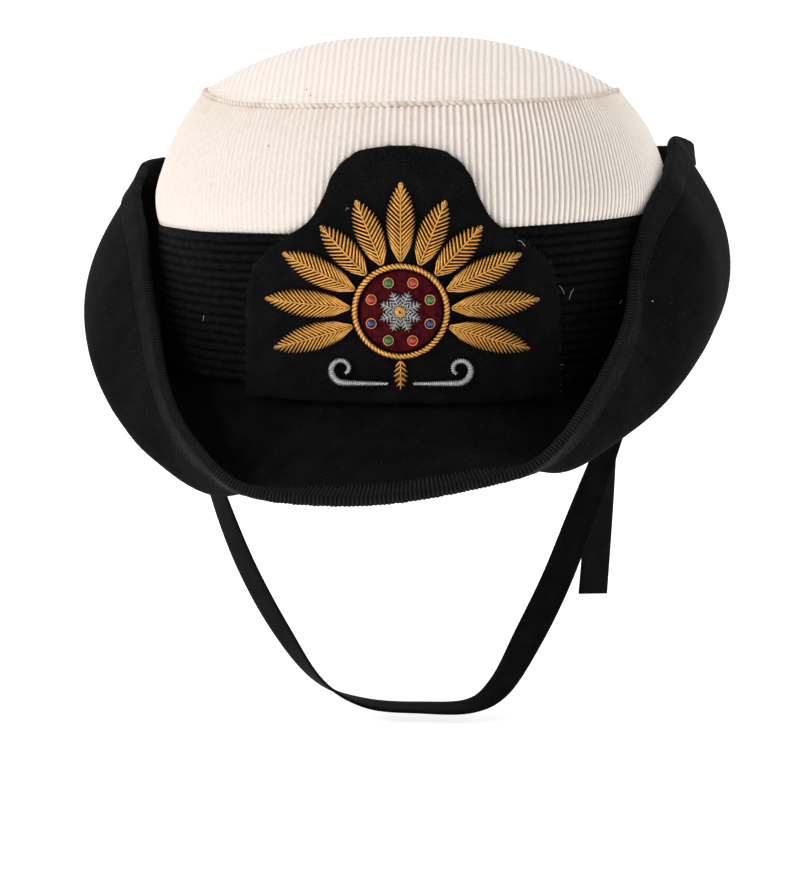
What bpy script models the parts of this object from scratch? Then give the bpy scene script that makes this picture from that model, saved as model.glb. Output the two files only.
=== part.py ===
"""A woman's uniform tricorn hat, modelled piece by piece at its real size, in metres with +Z up.

The hat faces -Y. The origin is the middle of the head opening, where the brim's collar meets the brim.
Azimuth is measured round the head oval from the front, positive towards +X. A place on the hat is given
by its azimuth, its distance out from the head oval and its rise above the head opening.
"""
import math
from collections import namedtuple

import bmesh
import bpy
from mathutils import Vector

MM = 0.001

# Clearances
GAP = 0.3 * MM
BADGE_SEAT = 0.4 * MM
STRAP_SEAT = 0.7 * MM
PATCH_SEAT = 0.6 * MM

# Head opening, a size 56 head
HEAD_HALF_WIDTH = 81.5 * MM
HEAD_HALF_LENGTH = 96.0 * MM

# Felt brim and the collar that stands up inside the crown
FELT = 2.0 * MM
COLLAR_HEIGHT = 22.0 * MM
COLLAR_FOOT = 0.5 * MM
BRIM_DROP = 2.5 * MM
BRIM_WIDTH = 78.0 * MM
BINDING_WIDTH = 7.8 * MM
BINDING_CLOTH = 0.9 * MM

# White crown
CROWN_CLOTH = 1.6 * MM
CROWN_FOOT = 1.2 * MM
CROWN_HEIGHT = 92.5 * MM
CROWN_SWELL = 4.4 * MM
SEAM_INSET = 9.0 * MM
SEAM_DIP = 4.2 * MM
SEAM_SLANT = 0.35
SEAM_CORNER = 6
SEAM_ROLL = 0.9 * MM
TIP_RISE = 18.3 * MM
TIP_FULLNESS = 2.6

# Corded band round the crown
BAND_FOOT = 2.0 * MM
BAND_HEIGHT = 48.6 * MM
BAND_THICKNESS = 2.2 * MM
BAND_GROOVE = 0.7 * MM
BAND_CORDS = 16
BAND_TILT = math.radians(2.0)

# Cloth patch that carries the badge
PATCH_HALF_WIDTH = 49.0 * MM
PATCH_HEIGHT = 78.4 * MM
PATCH_FOOT = -1.5 * MM
PATCH_CLOTH = 1.5 * MM
PATCH_STAND = 1.0 * MM

# Embroidered badge
BADGE_RISE = 27.0 * MM
VELVET_RADIUS = 12.4 * MM
VELVET_THICKNESS = 1.4 * MM
RIM_THICKNESS = 2.2 * MM
ROSETTE_RADIUS = 6.6 * MM
ROSETTE_THICKNESS = 1.8 * MM
BEAD_RADIUS = 1.35 * MM
BEAD_COUNT = 8
PETAL_WIDTH = 8.6 * MM
PETAL_THICKNESS = 2.3 * MM
PETAL_STEP = math.radians(21.6)
BADGE_REACH = 42.0 * MM
DROP_FOOT = 4.2 * MM
DROP_WIDTH = 4.3 * MM
DROP_THICKNESS = 1.8 * MM
SCROLL_FOOT = 6.2 * MM
SCROLL_ROOT = 3.9 * MM
SCROLL_REACH = 26.0 * MM
SCROLL_COIL = 4.2 * MM
SCROLL_THICKNESS = 2.6 * MM

# Chin strap
STRAP_WIDTH = 13.0 * MM
STRAP_CLOTH = 1.0 * MM
STRAP_DROP = 119.0 * MM
STRAP_TOP = 17.0 * MM
TAIL_DROP = 89.0 * MM

# Fineness of the solids
RING_SEGMENTS = 52
CURVE_SAMPLES = 60
BRIM_STATIONS = 7
TIP_RINGS = (1.0, 0.84, 0.62, 0.34)
ROLL_SIDES = 5
RIM_SEGMENTS = 18
DISC_SIDES = 16
BEAD_SIDES = 10
BEAD_RINGS = 4
PATCH_COLUMNS = 8
SCROLL_RUN_STEPS = 4
SCROLL_COIL_STEPS = 8
STRAP_STATIONS = 40
TAIL_STATIONS = 17
SHARP_ANGLE = math.radians(40)

# Brim sections round the head: lengths are shares of BRIM_WIDTH, angles are degrees above level
BrimRow = namedtuple("BrimRow", "azimuth edge_out edge_rise leave leave_reach arrive arrive_reach")
BRIM_ROWS = (
    BrimRow(-160, 0.18, 0.78, -6, 0.56, 106, 0.42),
    BrimRow(-140, 0.27, 0.83, -2, 0.52, 97, 0.42),
    BrimRow(-123, 0.43, 0.85, 0, 0.45, 92, 0.42),
    BrimRow(-105, 0.28, 0.785, 6, 0.505, 129, 0.55),
    BrimRow(-79, 0.15, 0.595, -6, 0.545, 123, 0.51),
    BrimRow(-60, 0.19, 0.28, -39, 0.555, 111, 0.46),
    BrimRow(-50, 0.26, 0.12, -51, 0.58, 104, 0.42),
    BrimRow(-39, 0.37, -0.075, -60, 0.56, 86, 0.38),
    BrimRow(-30, 0.47, -0.19, -57, 0.50, 62, 0.34),
    BrimRow(-21, 0.56, -0.295, -44, 0.35, 24, 0.24),
    BrimRow(-11, 0.61, -0.32, -30, 0.20, -5, 0.18),
    BrimRow(0, 0.615, -0.30, -25, 0.20, -10, 0.18),
    BrimRow(11, 0.59, -0.25, -23, 0.20, 0, 0.18),
    BrimRow(18, 0.55, -0.20, -34, 0.32, 30, 0.20),
    BrimRow(26, 0.455, -0.06, -44, 0.44, 72, 0.32),
    BrimRow(36, 0.33, 0.14, -46, 0.445, 95, 0.38),
    BrimRow(45, 0.23, 0.31, -42, 0.45, 102, 0.40),
    BrimRow(52, 0.155, 0.51, -34, 0.47, 108, 0.42),
    BrimRow(60, 0.122, 0.70, -24, 0.44, 115, 0.46),
    BrimRow(71, 0.119, 0.83, -8, 0.385, 127, 0.48),
    BrimRow(82, 0.105, 0.885, 3, 0.37, 132, 0.545),
    BrimRow(103, 0.185, 0.967, 8, 0.44, 129, 0.62),
    BrimRow(121, 0.455, 0.915, 4, 0.47, 88, 0.44),
    BrimRow(138, 0.30, 0.895, -2, 0.50, 96, 0.42),
    BrimRow(160, 0.19, 0.82, -6, 0.55, 106, 0.42),
    BrimRow(180, 0.17, 0.78, -8, 0.56, 108, 0.42),
)

# Crown panel: rise as a share of its height above the band, out as shares of the swell and the inset
CrownRow = namedtuple("CrownRow", "rise swell inset")
CROWN_ROWS = (
    CrownRow(0.01, 0.00, 0.00),
    CrownRow(0.06, 0.60, 0.00),
    CrownRow(0.21, 0.70, 0.00),
    CrownRow(0.46, 0.36, 0.10),
    CrownRow(0.74, 0.00, 0.38),
    CrownRow(1.00, 0.00, 1.00),
)

# Patch outline: rise as a share of its height, half width as a share of its own
PatchRow = namedtuple("PatchRow", "rise half_width")
PATCH_ROWS = (
    PatchRow(0.00, 1.00),
    PatchRow(0.24, 0.99),
    PatchRow(0.44, 0.97),
    PatchRow(0.54, 0.91),
    PatchRow(0.62, 0.775),
    PatchRow(0.70, 0.585),
    PatchRow(0.80, 0.48),
    PatchRow(0.90, 0.41),
    PatchRow(0.955, 0.325),
    PatchRow(0.99, 0.19),
    PatchRow(1.00, 0.07),
)

# Petals: reach from the badge's centre as a share of its whole reach, from the middle one outwards
PETAL_REACHES = (0.93, 0.86, 0.84, 0.95, 1.00, 0.98)

# A petal's sections from root to tip: shares of its length and width, wall and crest of its thickness
LeafRow = namedtuple("LeafRow", "along width wall crest")
LEAF_ROWS = (
    LeafRow(0.00, 0.26, 0.22, 0.59),
    LeafRow(0.40, 0.96, 0.34, 0.98),
    LeafRow(0.72, 0.84, 0.32, 0.91),
    LeafRow(1.00, 0.06, 0.19, 0.48),
)

# The velvet disc and the rosette: reach as a share of the radius, lift as a share of the thickness
DomeRow = namedtuple("DomeRow", "reach lift")
VELVET_ROWS = (DomeRow(1.0, 0.0), DomeRow(1.0, 0.6), DomeRow(0.5, 1.0))
ROSETTE_ROWS = (DomeRow(0.9, 0.0), DomeRow(1.0, 0.35), DomeRow(0.4, 1.0))
ROSETTE_LOBES = 8
LOBE_DEPTH = 0.17

# The scrolls: thickness at the root and in the coil, and the coil's last radius, as shares of the full ones
SCROLL_ROOT_SHARE = 0.55
SCROLL_COIL_SHARE = 0.72
SCROLL_EYE_SHARE = 0.38
SCROLL_TURN = math.radians(288)

# Chin strap: across and ahead as shares of the head oval's half axes, drop as a share of the strap's
StrapRow = namedtuple("StrapRow", "across ahead drop turn")
STRAP_ROWS = (
    StrapRow(-0.965, -0.03, 0.09, -6),
    StrapRow(-0.92, 0.0, 0.24, -20),
    StrapRow(-0.84, 0.08, 0.41, -34),
    StrapRow(-0.71, 0.17, 0.61, -40),
    StrapRow(-0.55, 0.25, 0.79, -38),
    StrapRow(-0.38, 0.31, 0.93, -22),
    StrapRow(-0.18, 0.34, 0.99, -4),
    StrapRow(0.06, 0.35, 1.0, 0),
    StrapRow(0.27, 0.34, 0.995, 6),
    StrapRow(0.395, 0.31, 0.94, 28),
    StrapRow(0.515, 0.27, 0.80, 43),
    StrapRow(0.635, 0.20, 0.64, 45),
    StrapRow(0.75, 0.12, 0.45, 42),
    StrapRow(0.86, 0.04, 0.26, 30),
    StrapRow(0.955, -0.02, 0.10, 10),
)
STRAP_AZIMUTH = math.radians(90)

# Free end of the strap, from the collar downwards: the same columns, drop as a share of the tail's
TAIL_ROWS = (
    StrapRow(0.92, -0.21, 0.12, 14),
    StrapRow(0.87, -0.20, 0.36, 40),
    StrapRow(0.84, -0.17, 0.68, 52),
    StrapRow(0.815, -0.14, 1.0, 56),
)
TAIL_AZIMUTH = math.radians(104)


def head_point(azimuth, out, rise):
    """A point at a distance out from the head oval, at an azimuth and a rise."""
    side = math.sin(azimuth)
    ahead = math.cos(azimuth)
    normal = Vector((side / HEAD_HALF_WIDTH, -ahead / HEAD_HALF_LENGTH, 0)).normalized()
    foot = Vector((HEAD_HALF_WIDTH * side, -HEAD_HALF_LENGTH * ahead, rise))
    return foot + normal * out


def ring_azimuths():
    """The azimuths that every ring round the head shares, so that nested rings have nested facets."""
    return [2 * math.pi * index / RING_SEGMENTS for index in range(RING_SEGMENTS)]


def hermite(start, end, slope_start, slope_end, span, share):
    """A cubic between two values with the slopes at its ends."""
    square = share * share
    cube = square * share
    value = (2 * cube - 3 * square + 1) * start + (3 * square - 2 * cube) * end
    return value + span * ((cube - 2 * square + share) * slope_start + (cube - square) * slope_end)


def brim_row_at(azimuth):
    """The brim's section values at an azimuth, read smoothly round its table."""
    first = BRIM_ROWS[0].azimuth
    degrees = first + (math.degrees(azimuth) - first) % 360
    count = len(BRIM_ROWS)

    def row(index):
        turns, place = divmod(index, count)
        found = BRIM_ROWS[place]
        return found._replace(azimuth=found.azimuth + 360 * turns)

    before = max(index for index in range(count) if BRIM_ROWS[index].azimuth <= degrees)
    a, b, c, d = (row(before + step) for step in (-1, 0, 1, 2))
    span = c.azimuth - b.azimuth
    share = (degrees - b.azimuth) / span
    values = []
    for column in range(1, len(BrimRow._fields)):
        slope_b = (c[column] - a[column]) / (c.azimuth - a.azimuth)
        slope_c = (d[column] - b[column]) / (d.azimuth - b.azimuth)
        values.append(hermite(b[column], c[column], slope_b, slope_c, span, share))
    return BrimRow(degrees, *values)


def polar(length, degrees):
    """A vector in a section's plane, as out and rise."""
    angle = math.radians(degrees)
    return Vector((math.cos(angle), math.sin(angle))) * length


def brim_curve(azimuth):
    """The middle line of the brim's section, as closely spaced points from the collar to the edge."""
    row = brim_row_at(azimuth)
    start = Vector((FELT, COLLAR_FOOT - BRIM_DROP))
    end = Vector((row.edge_out, row.edge_rise)) * BRIM_WIDTH
    lead = start + polar(row.leave_reach * BRIM_WIDTH, row.leave)
    tail = end - polar(row.arrive_reach * BRIM_WIDTH, row.arrive)
    points = []
    for index in range(CURVE_SAMPLES + 1):
        t = index / CURVE_SAMPLES
        s = 1 - t
        points.append(start * s ** 3 + lead * 3 * s * s * t + tail * 3 * s * t * t + end * t ** 3)
    return points


def at_length(points, lengths, wanted):
    """The point at a length along a line of points."""
    for index in range(1, len(points)):
        if lengths[index] >= wanted:
            share = (wanted - lengths[index - 1]) / (lengths[index] - lengths[index - 1])
            return points[index - 1].lerp(points[index], share)
    return points[-1].copy()


def brim_middle(azimuth):
    """The brim's section stations: collar, bend, an even run to the binding, and the edge."""
    points = brim_curve(azimuth)
    lengths = [0.0]
    for before, after in zip(points, points[1:]):
        lengths.append(lengths[-1] + (after - before).length)
    bound = lengths[-1] - BINDING_WIDTH
    stops = [bound * index / (BRIM_STATIONS - 1) for index in range(BRIM_STATIONS)]
    stops.append(lengths[-1])
    collar = [Vector((FELT / 2, COLLAR_HEIGHT)), Vector((FELT / 2, COLLAR_FOOT))]
    return collar + [at_length(points, lengths, stop) for stop in stops]


def section_normals(points):
    """The upper side's direction at each station of a section."""
    normals = []
    for index in range(len(points)):
        before = points[max(index - 1, 0)]
        after = points[min(index + 1, len(points) - 1)]
        along = (after - before).normalized()
        normals.append(Vector((-along.y, along.x)))
    return normals


def new_material(name, colour, roughness, metallic=0.0):
    """A Principled BSDF of one colour."""
    material = bpy.data.materials.new(name)
    material.use_nodes = True
    shader = material.node_tree.nodes["Principled BSDF"]
    shader.inputs["Base Color"].default_value = (*colour, 1)
    shader.inputs["Roughness"].default_value = roughness
    shader.inputs["Metallic"].default_value = metallic
    return material


def add_object(name, mesh_edit, material):
    """Turns a closed bmesh into a named object with its faces pointing out."""
    bmesh.ops.recalc_face_normals(mesh_edit, faces=mesh_edit.faces[:])
    mesh = bpy.data.meshes.new(name)
    mesh_edit.to_mesh(mesh)
    mesh_edit.free()
    mesh.materials.append(material)
    mesh.shade_smooth()
    mesh.set_sharp_from_angle(angle=SHARP_ANGLE)
    thing = bpy.data.objects.new(name, mesh)
    bpy.context.scene.collection.objects.link(thing)


def loft(loops, closed, stations=None):
    """A skin over rings of points: joined end to start, or closed with a flat face at each end.

    Where stations say how far along its section each point lies, the faces are split by them, so that
    nested skins are split alike, and the second half of the rings mirrors the first.
    """
    skin = bmesh.new()
    rings = [[skin.verts.new(point) for point in loop] for loop in loops]
    spans = len(rings) if closed else len(rings) - 1
    for index in range(spans):
        here = rings[index]
        there = rings[(index + 1) % len(rings)]
        for side in range(len(here)):
            other = (side + 1) % len(here)
            corners = (here[side], here[other], there[other], there[side])
            if stations is None:
                skin.faces.new(corners)
                continue
            outward = stations[other] >= stations[side]
            first = 0 if outward != (index < spans / 2) else 1
            a, b, c, d = corners[first:] + corners[:first]
            skin.faces.new((a, b, c))
            skin.faces.new((a, c, d))
    if not closed:
        skin.faces.new(rings[0])
        skin.faces.new(rings[-1])
    return skin


def ring_solid(name, section_at, material):
    """A solid swept round the head: section_at gives the closed section at an azimuth."""
    loops = []
    for azimuth in ring_azimuths():
        loops.append([head_point(azimuth, out, rise) for out, rise in section_at(azimuth)])
    add_object(name, loft(loops, closed=True), material)


def brim_sheet():
    """The brim's middle surface: a row of stations for each azimuth, and the upper side's direction."""
    rows = [[head_point(azimuth, place.x, place.y) for place in brim_middle(azimuth)]
            for azimuth in ring_azimuths()]
    ahead = []
    for index, row in enumerate(rows):
        along_edge = rows[(index + 1) % RING_SEGMENTS][-1] - rows[index - 1][-1]
        upward = (row[-1] - row[-2]).cross(along_edge)
        ahead.append(along_edge.cross(upward).normalized())
    for row, way in zip(rows, ahead):
        row[-2] = row[-1] - way * BINDING_WIDTH
    normals = []
    for index, row in enumerate(rows):
        before = rows[index - 1]
        after = rows[(index + 1) % RING_SEGMENTS]
        found = []
        for station in range(len(row)):
            outward = row[min(station + 1, len(row) - 1)] - row[max(station - 1, 0)]
            found.append(outward.cross(after[station] - before[station]).normalized())
        normals.append(found)
    return rows, normals, ahead


def make_brim(sheet, material):
    """The felt brim in one with the collar."""
    loops = []
    for row, normals, _ in zip(*sheet):
        upper = [place + normal * FELT / 2 for place, normal in zip(row, normals)]
        lower = [place - normal * FELT / 2 for place, normal in zip(row, normals)]
        loops.append(upper + lower[::-1])
    count = len(sheet[0][0])
    stations = list(range(count)) + [count] + list(range(count - 1))[::-1]
    add_object("brim", loft(loops, closed=True, stations=stations), material)


def make_binding(sheet, material):
    """The ribbon folded over the brim's edge, round the felt with a gap."""
    inner = FELT / 2 + GAP
    outer = inner + BINDING_CLOTH
    fold = outer - BINDING_CLOTH / 2
    loops = []
    for row, normals, ahead in zip(*sheet):
        start, start_up = row[-2], normals[-2]
        edge, up = row[-1], normals[-1]
        nose = edge + ahead * GAP
        tip = edge + ahead * (GAP + BINDING_CLOTH)
        skin = [start + start_up * outer, edge + up * outer, tip + up * fold]
        skin += [tip - up * fold, edge - up * outer, start - start_up * outer]
        lining = [start - start_up * inner, nose - up * inner, nose + up * inner, start + start_up * inner]
        loops.append(skin + lining)
    stations = [0, 1, 2, 3, 1, 0, 0, 2, 1, 0]
    add_object("brim_binding", loft(loops, closed=True, stations=stations), material)


def crown_foot_out():
    """How far the white panel's outer face is from the head oval under the band."""
    return FELT + GAP + CROWN_CLOTH


def band_top(azimuth):
    """The band's upper edge, which rises a little towards +X."""
    return BAND_FOOT + BAND_HEIGHT + math.tan(BAND_TILT) * HEAD_HALF_WIDTH * math.sin(azimuth)


def seam_dip(azimuth):
    """How far the seam is lower than at the sides: alike across the front and back, and more towards -X."""
    side = math.sin(azimuth)
    return SEAM_DIP * (1 - abs(side) ** SEAM_CORNER) * (1 - SEAM_SLANT * side)


def crown_profile(azimuth):
    """The white side panel's outer face: straight under the band, swelling over it, closing to the seam."""
    start = band_top(azimuth)
    height = CROWN_HEIGHT - start
    foot = crown_foot_out()
    points = [Vector((foot, CROWN_FOOT))]
    for row in CROWN_ROWS:
        out = foot + row.swell * CROWN_SWELL - row.inset * (foot + SEAM_INSET)
        points.append(Vector((out, start + row.rise * height - row.rise ** 2 * seam_dip(azimuth))))
    return points


def crown_section(azimuth):
    """The white side panel with its thickness."""
    outer = crown_profile(azimuth)
    normals = section_normals(outer)
    inner = [point + normal * CROWN_CLOTH for point, normal in zip(outer, normals)]
    return outer + inner[::-1]


def seam_section(azimuth):
    """The rolled seam that rests on the side panel's top edge, outside the tip's."""
    middle = Vector((-SEAM_INSET - CROWN_CLOTH / 2, CROWN_HEIGHT + GAP + SEAM_ROLL - seam_dip(azimuth)))
    return [middle + polar(SEAM_ROLL, 360 * side / ROLL_SIDES + 90) for side in range(ROLL_SIDES)]


def band_section(azimuth):
    """The braid: cords side by side, each a ridge between two grooves."""
    inner = crown_foot_out() + GAP
    crest = inner + BAND_THICKNESS
    top = band_top(azimuth)
    pitch = (top - BAND_FOOT) / BAND_CORDS
    points = [(inner, top), (inner, BAND_FOOT)]
    for cord in range(BAND_CORDS):
        points.append((crest - BAND_GROOVE, BAND_FOOT + cord * pitch))
        points.append((crest, BAND_FOOT + (cord + 0.5) * pitch))
    points.append((crest - BAND_GROOVE, top))
    return points


def tip_point(azimuth, share, drop):
    """A point on the crown's domed top: share 1 at the seam, 0 in the middle, drop below the outer face."""
    rim = head_point(azimuth, -SEAM_INSET - CROWN_CLOTH / 2 - SEAM_ROLL - GAP, 0)
    base = CROWN_HEIGHT + SEAM_ROLL - seam_dip(azimuth) * share ** 2
    rise = TIP_RISE * (1 - share ** TIP_FULLNESS)
    return Vector((rim.x * share, rim.y * share, base + rise - drop))


def make_crown_tip(material):
    """The domed white top panel."""
    skin = bmesh.new()
    rims = []
    for drop in (0.0, CROWN_CLOTH):
        rings = [[skin.verts.new(tip_point(azimuth, share, drop)) for azimuth in ring_azimuths()]
                 for share in TIP_RINGS]
        centre = skin.verts.new(tip_point(0.0, 0.0, drop))
        rims.append(rings[0])
        for side in range(RING_SEGMENTS):
            other = (side + 1) % RING_SEGMENTS
            for here, there in zip(rings, rings[1:]):
                skin.faces.new((here[side], here[other], there[other], there[side]))
            skin.faces.new((rings[-1][side], rings[-1][other], centre))
    for side in range(RING_SEGMENTS):
        other = (side + 1) % RING_SEGMENTS
        skin.faces.new((rims[0][side], rims[0][other], rims[1][other], rims[1][side]))
    add_object("crown_tip", skin, material)


def patch_out(rise):
    """How far the patch's inner face is from the head oval: on the band, then up the crown's front."""
    band_face = crown_foot_out() + GAP + BAND_THICKNESS
    front = crown_profile(0.0)
    behind = front[0].x
    for low, high in zip(front, front[1:]):
        if low.y <= rise <= high.y:
            behind = low.x + (high.x - low.x) * (rise - low.y) / (high.y - low.y)
    band_end = BAND_FOOT + BAND_HEIGHT
    above = max(rise - band_end, 0) / (PATCH_FOOT + PATCH_HEIGHT - band_end)
    return max(band_face, behind) * (1 - above) + behind * above + PATCH_SEAT + PATCH_STAND * above


def on_patch(across, rise, lift):
    """A point over the patch's outer face, at a width across and a rise."""
    out = patch_out(rise) + PATCH_CLOTH + lift
    azimuth = math.asin(across / (HEAD_HALF_WIDTH + out))
    return head_point(azimuth, out, rise)


def make_patch(material):
    """The cloth patch, a grid bent round the band."""
    loops = []
    for row in PATCH_ROWS:
        rise = PATCH_FOOT + row.rise * PATCH_HEIGHT
        shares = [2 * column / PATCH_COLUMNS - 1 for column in range(PATCH_COLUMNS + 1)]
        widths = [share * row.half_width * PATCH_HALF_WIDTH for share in shares]
        front = [on_patch(width, rise, 0.0) for width in widths]
        back = [on_patch(width, rise, -PATCH_CLOTH) for width in reversed(widths)]
        loops.append(front + back)
    add_object("badge_backing", loft(loops, closed=False), material)


def leaf_loops(root, tip, width, thickness):
    """Cross-sections of a padded leaf lying on the patch between two points given as across and rise."""
    along = tip - root
    side = Vector((-along.y, along.x)).normalized()
    loops = []
    for row in LEAF_ROWS:
        place = root + along * row.along
        half = side * width * row.width / 2
        wall = thickness * row.wall
        crest = thickness * row.crest
        corners = ((place - half, 0.0), (place - half, wall), (place, crest), (place + half, wall),
                   (place + half, 0.0))
        loops.append([on_patch(at.x, at.y, BADGE_SEAT + lift) for at, lift in corners])
    return loops


def badge_centre():
    """The badge's centre on the patch, as across and rise."""
    return Vector((0.0, BADGE_RISE))


def badge_ray(angle):
    """The direction on the patch at an angle from straight up, positive towards +X."""
    return Vector((math.sin(angle), math.cos(angle)))


def rim_radius():
    """Radius of the gold rim's middle line."""
    return VELVET_RADIUS + GAP + RIM_THICKNESS / 2


def make_petals(material):
    """Gold petals that fan out round the rim."""
    start = rim_radius() + RIM_THICKNESS / 2 + GAP
    last = len(PETAL_REACHES) - 1
    for index in range(-last, last + 1):
        ray = badge_ray(PETAL_STEP * index)
        reach = BADGE_REACH * PETAL_REACHES[abs(index)]
        loops = leaf_loops(badge_centre() + ray * start, badge_centre() + ray * reach, PETAL_WIDTH,
                           PETAL_THICKNESS)
        add_object(f"badge_petal_{index + last + 1:02d}", loft(loops, closed=False), material)


def make_drop(material):
    """A small gold leaf under the rim."""
    start = rim_radius() + RIM_THICKNESS / 2 + GAP
    root = badge_centre() - badge_ray(0.0) * start
    tip = Vector((0.0, PATCH_FOOT + DROP_FOOT))
    loops = leaf_loops(root, tip, DROP_WIDTH, DROP_THICKNESS)
    add_object("badge_drop", loft(loops, closed=False), material)


def dome_rings(rows, radius, seat, thickness, sides, lobes=0):
    """Rings of a low dome on the patch, its outline waved where it has lobes."""
    rings = []
    for row in rows:
        ring = []
        for side in range(sides):
            angle = 2 * math.pi * side / sides
            reach = radius * row.reach * (1 - LOBE_DEPTH * (1 - math.cos(lobes * angle)))
            spot = badge_centre() + badge_ray(angle) * reach
            ring.append(on_patch(spot.x, spot.y, seat + row.lift * thickness))
        rings.append(ring)
    return rings


def velvet_top():
    """What lies on the velvet starts this far over the patch."""
    return BADGE_SEAT + VELVET_THICKNESS + GAP


def make_velvet(material):
    """The dark red velvet disc in the badge's middle."""
    rings = dome_rings(VELVET_ROWS, VELVET_RADIUS, BADGE_SEAT, VELVET_THICKNESS, DISC_SIDES)
    add_object("badge_velvet", loft(rings, closed=False), material)


def make_rosette(material):
    """The silver flower over the velvet, with three sides to each lobe."""
    rings = dome_rings(ROSETTE_ROWS, ROSETTE_RADIUS, velvet_top(), ROSETTE_THICKNESS, 3 * ROSETTE_LOBES,
                       lobes=ROSETTE_LOBES)
    add_object("badge_rosette", loft(rings, closed=False), material)


def make_beads(materials):
    """Small coloured beads between the rosette and the rim."""
    radius = (ROSETTE_RADIUS + VELVET_RADIUS) / 2
    for index in range(BEAD_COUNT):
        spot = badge_centre() + badge_ray(2 * math.pi * (index + 0.5) / BEAD_COUNT) * radius
        middle = on_patch(spot.x, spot.y, velvet_top() + BEAD_RADIUS)
        bead = bmesh.new()
        bmesh.ops.create_uvsphere(bead, u_segments=BEAD_SIDES, v_segments=BEAD_RINGS, radius=BEAD_RADIUS)
        bmesh.ops.translate(bead, verts=bead.verts[:], vec=middle)
        add_object(f"badge_bead_{index + 1}", bead, materials[index % len(materials)])


def tube_loops(path, sides):
    """Cross-sections of a tube on the patch; each path entry is a spot, a direction and a radius."""
    loops = []
    for spot, along, radius in path:
        side = Vector((-along.y, along.x))
        loop = []
        for corner in range(sides):
            angle = 2 * math.pi * (corner + 0.5) / sides
            at = spot + side * radius * math.cos(angle)
            loop.append(on_patch(at.x, at.y, BADGE_SEAT + radius * (1 + math.sin(angle))))
        loops.append(loop)
    return loops


def make_rim(material):
    """The gold rope round the velvet disc."""
    path = []
    for index in range(RIM_SEGMENTS):
        angle = 2 * math.pi * index / RIM_SEGMENTS
        spot = badge_centre() + badge_ray(angle) * rim_radius()
        path.append((spot, badge_ray(angle + math.pi / 2), RIM_THICKNESS / 2))
    add_object("badge_rim", loft(tube_loops(path, ROLL_SIDES), closed=True), material)


def scroll_path():
    """The +X scroll: a straight run that thickens away from the drop, then a coil that turns up and in."""
    foot = PATCH_FOOT + SCROLL_FOOT
    run_end = SCROLL_REACH - 2 * SCROLL_COIL
    full = SCROLL_THICKNESS / 2
    path = []
    for index in range(SCROLL_RUN_STEPS + 1):
        share = index / SCROLL_RUN_STEPS
        spot = Vector((SCROLL_ROOT + share * (run_end - SCROLL_ROOT), foot))
        radius = full * (SCROLL_ROOT_SHARE + (1 - SCROLL_ROOT_SHARE) * share)
        path.append((spot, Vector((1.0, 0.0)), radius))
    for index in range(1, SCROLL_COIL_STEPS + 1):
        share = index / SCROLL_COIL_STEPS
        turn = SCROLL_TURN * share
        reach = SCROLL_COIL * (1 - (1 - SCROLL_EYE_SHARE) * share)
        spot = Vector((run_end, foot + SCROLL_COIL)) - badge_ray(-turn) * reach
        path.append((spot, badge_ray(math.pi / 2 - turn), full * SCROLL_COIL_SHARE))
    return path


def make_scrolls(material):
    """Two silver scrolls that run out from the drop and curl up at their ends."""
    for name, side in (("badge_scroll_left", -1), ("badge_scroll_right", 1)):
        path = []
        for spot, along, radius in scroll_path():
            path.append((Vector((side * spot.x, spot.y)), Vector((side * along.x, along.y)), radius))
        add_object(name, loft(tube_loops(path, ROLL_SIDES), closed=False), material)


def catmull(points, count):
    """Evenly shared points on a smooth curve through the given ones."""
    ends = [points[0] * 2 - points[1]] + points + [points[-1] * 2 - points[-2]]
    spans = len(points) - 1
    found = []
    for index in range(count):
        place = spans * index / (count - 1)
        span = min(int(place), spans - 1)
        t = place - span
        a, b, c, d = ends[span:span + 4]
        found.append(0.5 * (2 * b + (c - a) * t + (2 * a - 5 * b + 4 * c - d) * t * t
                            + (3 * b - a - 3 * c + d) * t ** 3))
    return found


def strap_seat(azimuth, rise):
    """The middle of a strap that lies against the collar's inner face."""
    return head_point(azimuth, -STRAP_SEAT - STRAP_CLOTH / 2, rise)


def tape_solid(name, places, turns, count, material):
    """A flat tape along a smooth curve, turned about its length by the given degrees."""
    # The turn rides as a fourth value, so that it is smoothed with the curve
    keys = [Vector((*place, math.radians(turn))) for place, turn in zip(places, turns)]
    course = catmull(keys, count)
    loops = []
    for index, key in enumerate(course):
        before = course[max(index - 1, 0)].xyz
        after = course[min(index + 1, count - 1)].xyz
        along = (after - before).normalized()
        flat = Vector((0.0, 1.0, 0.0))
        wide = (flat - along * flat.dot(along)).normalized()
        thick = along.cross(wide)
        turn = key.w
        across = wide * math.cos(turn) + thick * math.sin(turn)
        through = thick * math.cos(turn) - wide * math.sin(turn)
        half = across * STRAP_WIDTH / 2
        deep = through * STRAP_CLOTH / 2
        middle = key.xyz
        loops.append([middle - half - deep, middle + half - deep, middle + half + deep,
                      middle - half + deep])
    # Both faces of a twisted tape are split along the same diagonals, or they would cut each other
    add_object(name, loft(loops, closed=False, stations=(0, 1, 1, 0)), material)


def seat_turn(azimuth):
    """How far a tape that hangs against the collar at an azimuth is turned from front to back, in degrees."""
    across = HEAD_HALF_WIDTH * math.cos(azimuth)
    back = HEAD_HALF_LENGTH * math.sin(azimuth)
    return math.degrees(math.atan2(across, back))


def strap_place(row, drop):
    """A strap row's point: across and ahead on the head oval's axes, below the head opening."""
    return Vector((row.across * HEAD_HALF_WIDTH, -row.ahead * HEAD_HALF_LENGTH, -row.drop * drop))


def strap_seats(azimuth):
    """Three points down the collar's inner face, from where a strap is sewn on to the head opening."""
    return [strap_seat(azimuth, rise) for rise in (STRAP_TOP, STRAP_TOP / 2, 0.0)]


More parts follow.
